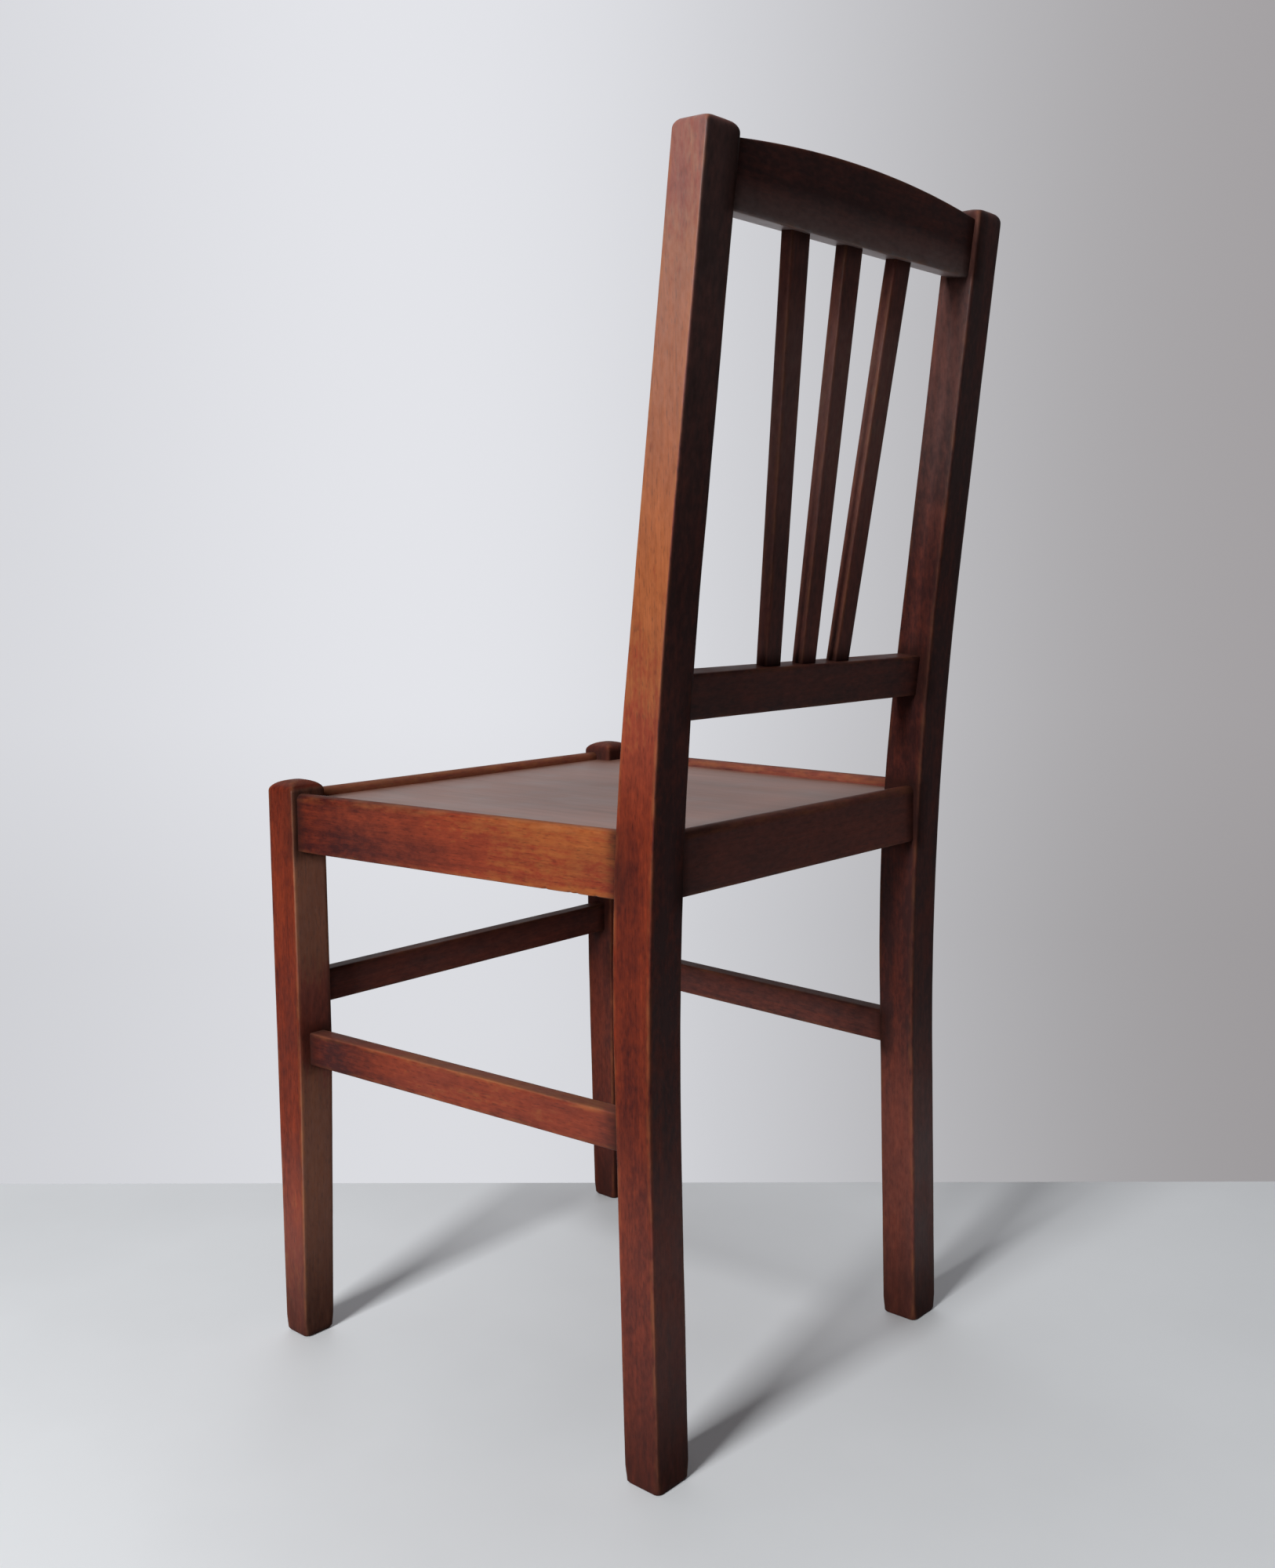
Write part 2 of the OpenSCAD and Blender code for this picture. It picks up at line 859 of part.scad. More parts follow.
module side_bar_tenons(play, space) {
    z0 = side_bar_z - bar_h + bar_shoulder;
    z1 = side_bar_z - bar_shoulder;
    start = side_at(leg_rear(side_bar_z) - bar_tenon_l, -bar_t / 2) - space;
    end = side_at(post_front(side_bar_z) + bar_tenon_l, -bar_t / 2) + space;
    side_frame(side_bar_inset)
        translate([-(bar_t + bar_tenon_t) / 2 - play, start, z0 - play])
            cube([bar_tenon_t + 2 * play, end - start, z1 - z0 + 2 * play]);
}

module side_stretcher() {
    intersection() {
        side_frame(side_bar_inset)
            translate([-bar_t, 0, side_bar_z - bar_h])
                along_y(side_dy)
                    eased(bar_t, bar_h, rail_arris_r);
        between_leg_and_post(side_bar_z - bar_h, side_bar_z);
    }
    side_bar_tenons(0, 0);
}

module side_stretcher_left() {
    color(wood_lit)
        place()
            side_stretcher();
}

module side_stretcher_right() {
    color(wood_mid)
        right_side()
            place()
                side_stretcher();
}

module front_bar_tenons(play, space) {
    half = leg_full_inner + bar_tenon_l + space;
    z0 = front_bar_z - bar_h + bar_shoulder;
    z1 = front_bar_z - bar_shoulder;
    translate([-half, front_bar_inset + (bar_t - bar_tenon_t) / 2 - play, z0 - play])
        cube([2 * half, bar_tenon_t + 2 * play, z1 - z0 + 2 * play]);
}

module front_stretcher() {
    color(wood_mid)
        place() {
            translate([0, front_bar_inset, front_bar_z - bar_h])
                across(leg_full_inner)
                    eased(bar_t, bar_h, rail_arris_r);
            front_bar_tenons(0, 0);
        }
}

// Corner blocks

// Screw places: origin on the rail's inner face, +z out of the rail into the block
module front_block_front() {
    translate([block_front[0] - block_screw, block_front[1], block_mid_z])
        rotate([-90, 0, 0])
            children();
}

module front_block_side() {
    side_frame(side_rail_inset)
        translate([-rail_t, side_at(block_front[1], -rail_t) + block_screw, block_mid_z])
            rotate([0, -90, 0])
                children();
}

module rear_block_rear() {
    translate([block_rear[0] - block_screw, block_rear[1], block_mid_z])
        rotate([90, 0, 0])
            children();
}

module rear_block_side() {
    side_frame(side_rail_inset)
        translate([-rail_t, side_at(block_rear[1], -rail_t) - block_screw, block_mid_z])
            rotate([0, -90, 0])
                children();
}

module screw() {
    tip = screw_seat - screw_l;
    rotate_extrude()
        polygon([
            [0, tip], [screw_d / 2, tip + screw_d],
            [screw_d / 2, screw_seat], [screw_head_d / 2, screw_seat],
            [screw_head_d / 2, screw_seat + screw_head_h / 2],
            [screw_head_d / 3, screw_seat + screw_head_h], [0, screw_seat + screw_head_h]
        ]);
}

module screw_bore() {
    translate([0, 0, screw_seat - screw_l - over])
        cylinder(d = screw_d + 2 * screw_play, h = screw_l + over);
}

module head_bore() {
    translate([0, 0, screw_seat])
        cylinder(d = screw_head_d + over, h = bore_reach);
}

module block_bores() {
    screw_bore();
    head_bore();
}

// A block in the corner at p, along the side rail in direction d
module block(p, d, inward) {
    along = p + block_leg * d;
    translate([0, 0, ledge - block_h])
        linear_extrude(block_h)
            difference() {
                polygon([
                    p, along, along + block_nose * side_in,
                    p + [-block_leg, inward * block_nose], p + [-block_leg, 0]
                ]);
                leg_space(block_gap);
                post_space(block_gap);
            }
}

module front_block() {
    difference() {
        block(block_front, side_dir, 1);
        front_block_front()
            block_bores();
        front_block_side()
            block_bores();
    }
}

module rear_block() {
    difference() {
        block(block_rear, -side_dir, -1);
        rear_block_rear()
            block_bores();
        rear_block_side()
            block_bores();
    }
}

module corner_block_front_left() {
    color(wood_bare)
        place()
            front_block();
}

module corner_block_front_right() {
    color(wood_bare)
        right_side()
            place()
                front_block();
}

module corner_block_rear_left() {
    color(wood_bare)
        place()
            rear_block();
}

module corner_block_rear_right() {
    color(wood_bare)
        right_side()
            place()
                rear_block();
}

module corner_block_screws() {
    color(screw_steel)
        place()
            both_sides() {
                front_block_front()
                    screw();
                front_block_side()
                    screw();
                rear_block_rear()
                    screw();
                rear_block_side()
                    screw();
            }
}

rear_post_left();
rear_post_right();
front_leg_left();
front_leg_right();
front_seat_rail();
rear_seat_rail();
side_seat_rail_left();
side_seat_rail_right();
seat_panel();
crest_rail();
lower_back_rail();
back_slat_left();
back_slat_middle();
back_slat_right();
front_stretcher();
side_stretcher_left();
side_stretcher_right();
corner_block_front_left();
corner_block_front_right();
corner_block_rear_left();
corner_block_rear_right();
corner_block_screws();
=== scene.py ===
"""Bistro chair in stained beech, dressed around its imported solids."""
import math

import bmesh
import bpy
from bpy.props import FloatProperty, FloatVectorProperty, PointerProperty
from mathutils import Matrix, Vector, noise


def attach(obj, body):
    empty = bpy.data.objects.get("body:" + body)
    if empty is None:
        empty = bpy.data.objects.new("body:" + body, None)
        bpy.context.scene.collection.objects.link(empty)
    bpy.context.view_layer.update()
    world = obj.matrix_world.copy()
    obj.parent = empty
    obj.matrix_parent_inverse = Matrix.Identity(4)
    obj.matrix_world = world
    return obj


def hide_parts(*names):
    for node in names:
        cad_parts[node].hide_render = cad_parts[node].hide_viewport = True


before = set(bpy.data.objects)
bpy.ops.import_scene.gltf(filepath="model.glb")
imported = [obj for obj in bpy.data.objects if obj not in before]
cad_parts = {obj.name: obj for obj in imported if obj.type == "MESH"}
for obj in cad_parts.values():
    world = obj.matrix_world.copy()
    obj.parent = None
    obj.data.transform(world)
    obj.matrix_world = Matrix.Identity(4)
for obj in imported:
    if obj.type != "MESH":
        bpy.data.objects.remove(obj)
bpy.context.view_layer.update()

bl_info = {
    "name": "Bistro chair",
    "version": (1, 0, 0),
    "blender": (4, 5, 0),
    "location": "3D View > Sidebar > Chair",
    "description": "Builds a stained beech bistro chair around its packed solids",
    "category": "Object",
}

MM = 0.001

# Sizes of the chair in millimetres, as in the solids. Lengths along Y are counted from the
# front face of the front legs; DEPTH is the whole depth, and the origin lies in its middle.
DEPTH = 436.265

# Rear posts: inner and outer faces, height and fall of the top, crown, lean above the bend
POST_IN, POST_OUT = 144.8, 177.5
POST_TOP, POST_FALL = 887.0, 1.5
CROWN_H, CROWN_FRONT, CROWN_REAR = 7.5, 4.5, 2.5
RAKE = math.radians(7.05)

# Their rear and front faces: depth at the floor, slope below and above the bend, and the
# heights between which they bend
REAR_FACE = (386.5, -math.tan(math.radians(0.99)), math.tan(RAKE), 212.0, 623.0)
FRONT_FACE = (356.5, -math.tan(math.radians(1.09)), math.tan(math.radians(7.26)), 290.0, 534.0)

# Front legs: inner and outer faces, depth, heights of knee, top and dome, size at the floor
LEG_IN, LEG_OUT = 167.0, 199.0
LEG_D, KNEE, LEG_TOP, LEG_DOME = 31.2, 239.0, 456.5, 8.5
LEG_FOOT_W, LEG_FOOT_D = 27.8, 26.4

# Seat frame and panel: heights, play, section of the rails, taper of the seat, and where
# the rails stand
SEAT_TOP, RAIL_LOW, LEDGE, PANEL_TOP = 447.0, 401.0, 435.0, 440.0
PANEL_GAP = 0.3
RAIL_T, LIP_W, LIP_R = 22.0, 11.0, 4.5
SIDE_ANGLE = math.radians(3.45397)
SIDE_IN, FRONT_RAIL_Y, REAR_RAIL_Y, REAR_TOP = 4.0, 4.2, 382.380, 445.5

# Back rest: its middle plane from the lower rail's top on, its rails, and the slats' sizes
# and spacing at foot and top
BACK_RAKE = math.radians(7.65318)
BACK_Y, BACK_Z, SLAT_L = 379.067, 550.199, 288.638
LOW_RAIL_H, LOW_RAIL_T = 31.5, 18.0
CREST_T, CREST_END, CREST_RISE = 19.0, 42.5, 9.0
SLAT_T, SLAT_FOOT_W, SLAT_TOP_W = 9.0, 17.5, 20.7
SLAT_FOOT_PITCH, SLAT_TOP_PITCH = 42.6, 62.5

# Stretchers: section, heights of their tops, and how far in they stand
BAR_T, BAR_H = 14.0, 26.4
SIDE_BAR_TOP, SIDE_BAR_IN = 253.6, 9.0
FRONT_BAR_TOP, FRONT_BAR_Y = 299.2, 8.3

# Length of a side piece between leg and post, and where the left rail's lower edge is chipped
SIDE_RUN = 325.0
RAIL_CHIPS = (261.0, 283.0, 289.0, 306.0)

# Height over which the feet are scuffed and dirty, and how far the dirt and the painted shade
# spread from a joint
SCUFF = 68.0
DIRT_AND_SHADE_REACH = 7.0

# How far below its plane a face's own look begins
SKIN = 1.2

# How far a board reaches into what carries it, so that no light shows through a joint
BITE = 1.0

# Boxes round the left front leg and round its mirror image, for the dirt and the painted shade in
# their joints
LEG_BOX = ((LEG_IN, 0, 0), (LEG_OUT, LEG_D, 460))
FAR_LEG_BOX = ((-LEG_OUT, 0, 0), (-LEG_IN, LEG_D, 460))


def bent(z, y0, s0, s1, za, zb):
    """A line with slope s0 up to za and s1 from zb on, with an even turn between them."""
    a = min(max(z - za, 0.0), zb - za)
    return y0 + s0 * z + (s1 - s0) / (zb - za) * a * a / 2 + (s1 - s0) * max(z - zb, 0.0)


def post_rear(z):
    """The rear face of the rear posts at a height."""
    return bent(z, *REAR_FACE)


def post_front(z):
    """The front face of the rear posts at a height."""
    return bent(z, *FRONT_FACE)


def leg_rear(z):
    """The rear face of the front legs at a height: tapered below the knee."""
    return LEG_FOOT_D + (LEG_D - LEG_FOOT_D) * clamp(z / KNEE)


def row(x, y, z):
    """A point of the chair in the row's frame, in metres."""
    return Vector((x, y - DEPTH / 2, z)) * MM


def clamp(v):
    """A number kept between 0 and 1."""
    return max(0.0, min(1.0, v))


def ease(v):
    """A soft step: 0 up to 0 and 1 from 1 on."""
    v = clamp(v)
    return v * v * (3 - 2 * v)


def rise(v, start, end):
    """A soft step from 0 at the start to 1 at the end."""
    return ease((v - start) / (end - start))


def wander(s, seed, period):
    """A slow, even wandering between about -1 and 1 along a piece."""
    return noise.noise(Vector((s / period, seed * 7.31, seed * 1.7)))


# Boards

# Steps round an arris, and how far beside it the next point lies
ARRIS_STEPS, BESIDE = 3, 2.4


def outline(corners):
    """Points round a section with right-angled corners (a, b, radius), with how near each is
    to an arris. A corner with a radius gives one point more than its steps, a side three."""
    n = len(corners)
    arcs = []
    for i, (a, b, r) in enumerate(corners):
        here = Vector((a, b))
        back = Vector(corners[i - 1][:2]) - here
        on = Vector(corners[(i + 1) % n][:2]) - here
        r = min(r, 0.46 * back.length, 0.46 * on.length)
        back.normalize()
        on.normalize()
        if r <= 0:
            arcs.append([(here, 0.3)])
            continue
        middle = here + (back + on) * r
        arc = []
        for k in range(ARRIS_STEPS + 1):
            t = math.pi / 2 * k / ARRIS_STEPS
            arc.append((middle - (on * math.cos(t) + back * math.sin(t)) * r, 1.0))
        arcs.append(arc)
    points = []
    for i, arc in enumerate(arcs):
        points += arc
        start, end = arc[-1][0], arcs[(i + 1) % n][0][0]
        reach = (end - start).length
        side = min(BESIDE, reach / 3)
        for d in (side, reach / 2, reach - side):
            points.append((start.lerp(end, d / reach), 0.0))
    return points


def inset(corners, d):
    """The same corners drawn in by d all round."""
    out = []
    n = len(corners)
    for i, (a, b, r) in enumerate(corners):
        here = Vector((a, b))
        back = (Vector(corners[i - 1][:2]) - here).normalized()
        on = (Vector(corners[(i + 1) % n][:2]) - here).normalized()
        turn = back.x * on.y - back.y * on.x
        shift = here + (back + on) * (d if turn < 0 else -d)
        out.append((shift.x, shift.y, r))
    return out


def box_gap(p, box):
    """Distance from a point to a box, in millimetres."""
    low, high = box
    return math.sqrt(sum(max(low[i] - p[i], 0, p[i] - high[i]) ** 2 for i in range(3)))


def board(name, stations, corners_at, place, seed, mirror=False, grime=(), look=(0.5, 0.0)):
    """A closed board through the sections at the stations. It stores, for the wood finish,
    the straightened grain coordinates in millimetres, the arrises, the grime with painted shade
    beside the joints, and the look: how pale the stain is, which on some faces is painted shade
    and light, and how cloudy the lacquer, which is partly a painted sheen, as a pair or as a
    function of a point."""
    bm = bmesh.new()
    grain = bm.verts.layers.float_vector.new("grain")
    edge = bm.verts.layers.float.new("edge")
    dirt_and_shade = bm.verts.layers.float.new("grime")
    shade = bm.verts.layers.float.new("tone")
    cloud = bm.verts.layers.float.new("cloud")
    rings = []
    for s in stations:
        ring = []
        for p, e in outline(corners_at(s)):
            x, y, z, along = place(s, p.x, p.y)
            v = bm.verts.new(row(-x if mirror else x, y, z))
            # Each piece is cut from another place of the grain
            v[grain] = (p.x + seed * 137.0, p.y + seed * 61.0, along + seed * 509.0)
            v[edge] = e
            # Dirt beside the joints, partly painted shade between the parts, and dirt on the feet
            near = [math.exp(-(box_gap((x, y, z), b) / DIRT_AND_SHADE_REACH) ** 2) for b in grime]
            v[dirt_and_shade] = max(near + [0.9 * math.exp(-(z / SCUFF) ** 2)])
            v[shade], v[cloud] = look(x, y, z) if callable(look) else look
            ring.append(v)
        rings.append(ring)
    count = len(rings[0])
    for low, high in zip(rings, rings[1:]):
        for i in range(count):
            k = (i + 1) % count
            bm.faces.new((low[i], low[k], high[k], high[i]))
    bm.faces.new(reversed(rings[0]))
    bm.faces.new(rings[-1])
    bmesh.ops.recalc_face_normals(bm, faces=bm.faces)
    mesh = bpy.data.meshes.new(name)
    bm.to_mesh(mesh)
    bm.free()
    mesh.shade_smooth()
    mesh.set_sharp_from_angle(angle=math.radians(50))
    piece = bpy.data.objects.new(name, mesh)
    bpy.context.scene.collection.objects.link(piece)
    return piece


def steps_between(start, end, step):
    """Even stations from start to end, about a step apart."""
    count = max(2, round((end - start) / step))
    return [start + (end - start) * i / count for i in range(count + 1)]


def dress(piece, finish, slot, *nodes):
    """Gives a piece its finish and lets it stand for its solids."""
    piece.data.materials.append(finish)
    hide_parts(*nodes)
    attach(piece, "root")


# Finishes

MATH, MIX, RAMP = "ShaderNodeMath", "ShaderNodeMix", "ShaderNodeValToRGB"
ATTRIBUTE, NOISE = "ShaderNodeAttribute", "ShaderNodeTexNoise"
LACQUER_IOR = 1.5

# Settings of a mix node that multiplies its second colour into its first, and its sockets
TINT = {"data_type": "RGBA", "blend_type": "MULTIPLY"}
FACTOR, UNDER, OVER, MIXED = 0, 6, 7, 2


def linear(hex_code):
    """An sRGB hex value as linear red, green, blue and alpha."""
    parts = [int(hex_code[i:i + 2], 16) / 255 for i in (1, 3, 5)]
    return [c / 12.92 if c <= 0.04045 else ((c + 0.055) / 1.055) ** 2.4 for c in parts] + [1.0]


def add(tree, kind, inputs=(), out=0, stops=(), **settings):
    """Adds a node with its settings and gives back one of its outputs. The inputs are values
    or other nodes' outputs, in order or by name or number. A ramp has stops of a position
    with a grey or a colour."""
    made = tree.nodes.new(kind)
    for key, value in settings.items():
        setattr(made, key, value)
    for key, value in inputs.items() if isinstance(inputs, dict) else enumerate(inputs):
        if isinstance(value, bpy.types.NodeSocket):
            tree.links.new(value, made.inputs[key])
        else:
            made.inputs[key].default_value = value
    if stops:
        bar = made.color_ramp.elements
        while len(bar) < len(stops):
            bar.new(0.5)
        for spot, (at, value) in zip(bar, stops):
            spot.position = at
            spot.color = value if not isinstance(value, float) else (value, value, value, 1.0)
    return made.outputs[out] if made.outputs else made


def new_finish(name):
    """A new material with an empty node tree."""
    finish = bpy.data.materials.new(name)
    finish.use_nodes = True
    finish.node_tree.nodes.clear()
    return finish, finish.node_tree


def once(name, maker, *values):
    """The material of this name, made only once."""
    return bpy.data.materials.get(name) or maker(name, *values)


def grain_noise(tree, coords, across, along, detail, rough):
    """Noise drawn out along the grain: its size in millimetres across and along."""
    scale = (1 / across, 1 / across, 1 / along)
    scaled = add(tree, "ShaderNodeMapping", {"Vector": coords, "Scale": scale})
    return add(tree, NOISE, {"Vector": scaled, "Scale": 1.0, "Detail": detail,
                             "Roughness": rough})


def object_mm(tree):
    """Object coordinates in millimetres."""
    coords = add(tree, "ShaderNodeTexCoord", out="Object")
    return add(tree, "ShaderNodeMapping", {"Vector": coords, "Scale": (1000.0, 1000.0, 1000.0)})


def stained_beech(name, colours):
    """Beech, planed, stained red-brown and rubbed with a satin lacquer that has worn for
    decades. The eye sees slow bands, short dark flecks along the grain, blotches where the
    stain took unevenly, a grey-mauve cloud in the lacquer that is partly a painted sheen, paler
    worn arrises that partly paint a highlight, dark grime in the joints and on the feet with
    painted shade beside the joints, and dull dust on what faces up. Some faces carry painted
    shade and light in the stain's tone."""
    finish, tree = new_finish(name)
    coords = add(tree, ATTRIBUTE, out="Vector", attribute_name="grain")
    edge = add(tree, ATTRIBUTE, out="Fac", attribute_name="edge")
    dirt_and_shade = add(tree, ATTRIBUTE, out="Fac", attribute_name="grime")
    tone = add(tree, ATTRIBUTE, out="Fac", attribute_name="tone")
    cloud = add(tree, ATTRIBUTE, out="Fac", attribute_name="cloud")
    bands = grain_noise(tree, coords, 11.0, 320.0, 3.0, 0.55)
    streaks = grain_noise(tree, coords, 1.6, 60.0, 3.0, 0.6)
    blotch = grain_noise(tree, coords, 24.0, 38.0, 4.0, 0.62)
    mottle = grain_noise(tree, coords, 3.5, 8.0, 3.0, 0.6)
    drift = grain_noise(tree, coords, 30.0, 70.0, 2.0, 0.5)
    rub = grain_noise(tree, coords, 7.0, 26.0, 3.0, 0.65)
    # Beech flecks are about 0.3 mm wide and 3 mm long; they are drawn 1.2 by 7 mm to show
    fleck = grain_noise(tree, coords, 1.2, 7.0, 1.0, 0.5)

    # How well the stain took: bands, blotches and mottle about the piece's own tone, which on
    # some faces is painted shade and light
    uneven = add(tree, MATH, (mottle, 0.4), operation="MULTIPLY")
    uneven = add(tree, MATH, (blotch, 0.36, uneven), operation="MULTIPLY_ADD")
    uneven = add(tree, MATH, (bands, 0.4, uneven), operation="MULTIPLY_ADD")
    level = add(tree, MATH, (uneven, 0.58), operation="SUBTRACT")
    level = add(tree, MATH, (tone, 0.9, level), operation="MULTIPLY_ADD")
    stain = add(tree, RAMP, {"Fac": level},
                stops=[(0.0, tuple(colours.deep_stain)), (0.4, tuple(colours.mid_stain)),
                       (0.56, tuple(colours.gold_stain)), (1.0, tuple(colours.worn_stain))])
    for pattern, stops in (
            (drift, [(0.35, linear("#fff4ea")), (0.65, linear("#eee0e0"))]),
            (streaks, [(0.3, 0.84), (0.7, 1.14)]),
            (fleck, [(0.58, 1.0), (0.72, 0.66)])):
        shade = add(tree, RAMP, {"Fac": pattern}, stops=stops)
        stain = add(tree, MIX, {FACTOR: 1.0, UNDER: stain, OVER: shade}, MIXED, **TINT)

    # Cloudy lacquer that is partly a painted sheen, rubbed arrises that partly paint a
    # highlight, grime with painted shade beside the joints, and dust, one over the other
    patchy = add(tree, RAMP, {"Fac": mottle}, stops=[(0.3, 0.8), (0.7, 1.2)])
    patchy = add(tree, MATH, (cloud, patchy), operation="MULTIPLY")
    # Paler bare wood on the rubbed arrises, which also paints a soft highlight along the rounded
    # edges and lips
    bare = add(tree, MATH, (tone, 0.3), operation="ADD")
    bare = add(tree, MATH, (edge, bare), operation="MULTIPLY")
    rubbed = add(tree, RAMP, {"Fac": rub}, stops=[(0.4, 0.0), (0.7, 0.6)])
    bare = add(tree, MATH, (bare, rubbed), operation="MULTIPLY")
    grime_and_shade_cover = add(tree, RAMP, {"Fac": rub}, stops=[(0.25, 1.0), (0.75, 0.6)])
    grime_and_shade_cover = add(tree, MATH, (dirt_and_shade, grime_and_shade_cover), operation="MULTIPLY")
    normal = add(tree, "ShaderNodeNewGeometry", out="Normal")
    upward = add(tree, "ShaderNodeSeparateXYZ", {"Vector": normal}, out="Z")
    dust = add(tree, RAMP, {"Fac": upward}, stops=[(0.7, 0.0), (0.95, 1.0)])
    dusted = add(tree, MATH, (dust, 0.25), operation="MULTIPLY")
    for cover, colour in ((patchy, colours.haze_and_sheen_colour), (bare, colours.bare_arris_and_highlight),
                          (grime_and_shade_cover, colours.grime), (dusted, colours.dust)):
        stain = add(tree, MIX, {FACTOR: cover, UNDER: stain, OVER: tuple(colour)}, MIXED,
                    data_type="RGBA")

    # The lacquer shines less where it is rubbed off, dusty, or under the grime and painted shade,
    # and more where it is thick
    dull = add(tree, MATH, (dust, 0.88), operation="MULTIPLY")
    dull = add(tree, MATH, (dull, dirt_and_shade), operation="MAXIMUM")
    worn = add(tree, MATH, (edge, 0.3), operation="MULTIPLY")
    dull = add(tree, MATH, (worn, dull), operation="MAXIMUM")
    kept = add(tree, MATH, (1.0, dull), operation="SUBTRACT")
    thick = add(tree, MATH, (cloud, 0.5, 0.1), operation="MULTIPLY_ADD")
    shine = add(tree, MATH, (kept, thick), operation="MULTIPLY")
    satin = add(tree, RAMP, {"Fac": blotch},
                stops=[(0.3, colours.gloss - 0.06), (0.75, colours.gloss + 0.12)])
    height = add(tree, MATH, (streaks, 0.6), operation="MULTIPLY")
    height = add(tree, MATH, (fleck, -0.5, height), operation="MULTIPLY_ADD")
    bump = add(tree, "ShaderNodeBump", {"Strength": 0.25, "Distance": 0.0002, "Height": height})
    skin = add(tree, "ShaderNodeBsdfPrincipled",
               {"Base Color": stain, "Roughness": satin, "IOR": LACQUER_IOR,
                "Specular IOR Level": shine, "Normal": bump})
    add(tree, "ShaderNodeOutputMaterial", {"Surface": skin})
    return finish


def beech():
    """The finish that all the stained pieces share."""
    return once("stained beech, worn satin lacquer", stained_beech,
                bpy.context.scene.chair_finish)


def stained_plywood(name):
    """Birch plywood, stained grey-brown, with a satin lacquer rubbed dull by sitting. The eye
    sees a fine grain along the seat, slow cloudy blotches and a soft sheen at a low angle."""
    finish, tree = new_finish(name)
    turned = add(tree, "ShaderNodeMapping",
                 {"Vector": object_mm(tree), "Rotation": (math.pi / 2, 0, 0)})
    bands = grain_noise(tree, turned, 16.0, 240.0, 3.0, 0.55)
    streaks = grain_noise(tree, turned, 1.8, 50.0, 3.0, 0.6)
    blotch = grain_noise(tree, turned, 45.0, 60.0, 4.0, 0.6)
    level = add(tree, MATH, (blotch, 0.7), operation="MULTIPLY")
    level = add(tree, MATH, (bands, 0.5, level), operation="MULTIPLY_ADD")
    stain = add(tree, RAMP, {"Fac": level},
                stops=[(0.3, linear("#6a4533")), (0.6, linear("#835a4b")),
                       (0.85, linear("#946b5e"))])
    # Rubbed duller and darker where people sit, with the lacquer whole towards the edges, which
    # are paler partly as a painted sheen: the reach is 1 at 180 mm from the seat's middle, so it
    # grows by 5.6 to the metre
    spread = add(tree, "ShaderNodeMapping",
                 {"Vector": add(tree, "ShaderNodeTexCoord", out="Object"),
                  "Scale": (5.6, 5.6, 0.0)})
    reach = add(tree, "ShaderNodeVectorMath", (spread,), "Value", operation="LENGTH")
    reach = add(tree, MATH, (blotch, 0.3, reach), operation="MULTIPLY_ADD")
    for pattern, stops in ((streaks, [(0.3, 0.85), (0.7, 1.1)]),
                           (reach, [(0.6, 0.88), (1.1, 1.08)])):
        shade = add(tree, RAMP, {"Fac": pattern}, stops=stops)
        stain = add(tree, MIX, {FACTOR: 1.0, UNDER: stain, OVER: shade}, MIXED, **TINT)
    shine = add(tree, RAMP, {"Fac": reach}, stops=[(0.6, 0.46), (1.1, 0.68)])
    satin = add(tree, RAMP, {"Fac": blotch}, stops=[(0.3, 0.4), (0.75, 0.55)])
    bump = add(tree, "ShaderNodeBump", {"Strength": 0.2, "Distance": 0.0002, "Height": streaks})
    skin = add(tree, "ShaderNodeBsdfPrincipled",
               {"Base Color": stain, "Roughness": satin, "IOR": LACQUER_IOR,
                "Specular IOR Level": shine, "Normal": bump})
    add(tree, "ShaderNodeOutputMaterial", {"Surface": skin})
    return finish


def bare_beech(name):
    """Sawn beech left unfinished, aged to a dull straw colour, with rough streaks along the
    grain."""
    finish, tree = new_finish(name)
    coords = object_mm(tree)
    streaks = grain_noise(tree, coords, 1.5, 30.0, 3.0, 0.6)
    blotch = grain_noise(tree, coords, 14.0, 20.0, 3.0, 0.6)
    level = add(tree, MATH, (blotch, 0.5), operation="MULTIPLY")
    level = add(tree, MATH, (streaks, 0.5, level), operation="MULTIPLY_ADD")
    wood = add(tree, RAMP, {"Fac": level},
               stops=[(0.3, linear("#8d6a45")), (0.7, linear("#bd9767"))])
    bump = add(tree, "ShaderNodeBump", {"Strength": 0.3, "Distance": 0.0003, "Height": streaks})
    skin = add(tree, "ShaderNodeBsdfPrincipled",
               {"Base Color": wood, "Roughness": 0.75, "Normal": bump})
    add(tree, "ShaderNodeOutputMaterial", {"Surface": skin})
    return finish


def zinc_steel(name):
    """Steel, zinc plated and dulled: a grey metal with faint cloudy spots."""
    finish, tree = new_finish(name)
    coords = add(tree, "ShaderNodeTexCoord", out="Object")
    # Spots of zinc about 1.7 mm across, 600 to the metre
    spots = add(tree, NOISE, {"Vector": coords, "Scale": 600.0, "Detail": 3.0})
    plating = add(tree, RAMP, {"Fac": spots},
                  stops=[(0.35, linear("#8b8a86")), (0.65, linear("#b4b3ad"))])
    rough = add(tree, RAMP, {"Fac": spots}, stops=[(0.3, 0.35), (0.7, 0.5)])
    skin = add(tree, "ShaderNodeBsdfPrincipled",
               {"Base Color": plating, "Roughness": rough, "Metallic": 1.0})
    add(tree, "ShaderNodeOutputMaterial", {"Surface": skin})
    return finish


# What a user would change

class ChairSizes(bpy.types.PropertyGroup):
    arris: FloatProperty(
        name="Arris", description="Rounding of the long edges of posts and legs",
        default=0.0013, min=0.0005, max=0.004, subtype="DISTANCE", unit="LENGTH")
    rail_arris: FloatProperty(
        name="Rail arris", description="Rounding of the edges of rails and stretchers",
        default=0.0013, min=0.0005, max=0.004, subtype="DISTANCE", unit="LENGTH")
    wear: FloatProperty(
        name="Wear", description="How far the arrises have worn unevenly",
        default=0.0003, min=0.0, max=0.0015, subtype="DISTANCE", unit="LENGTH")


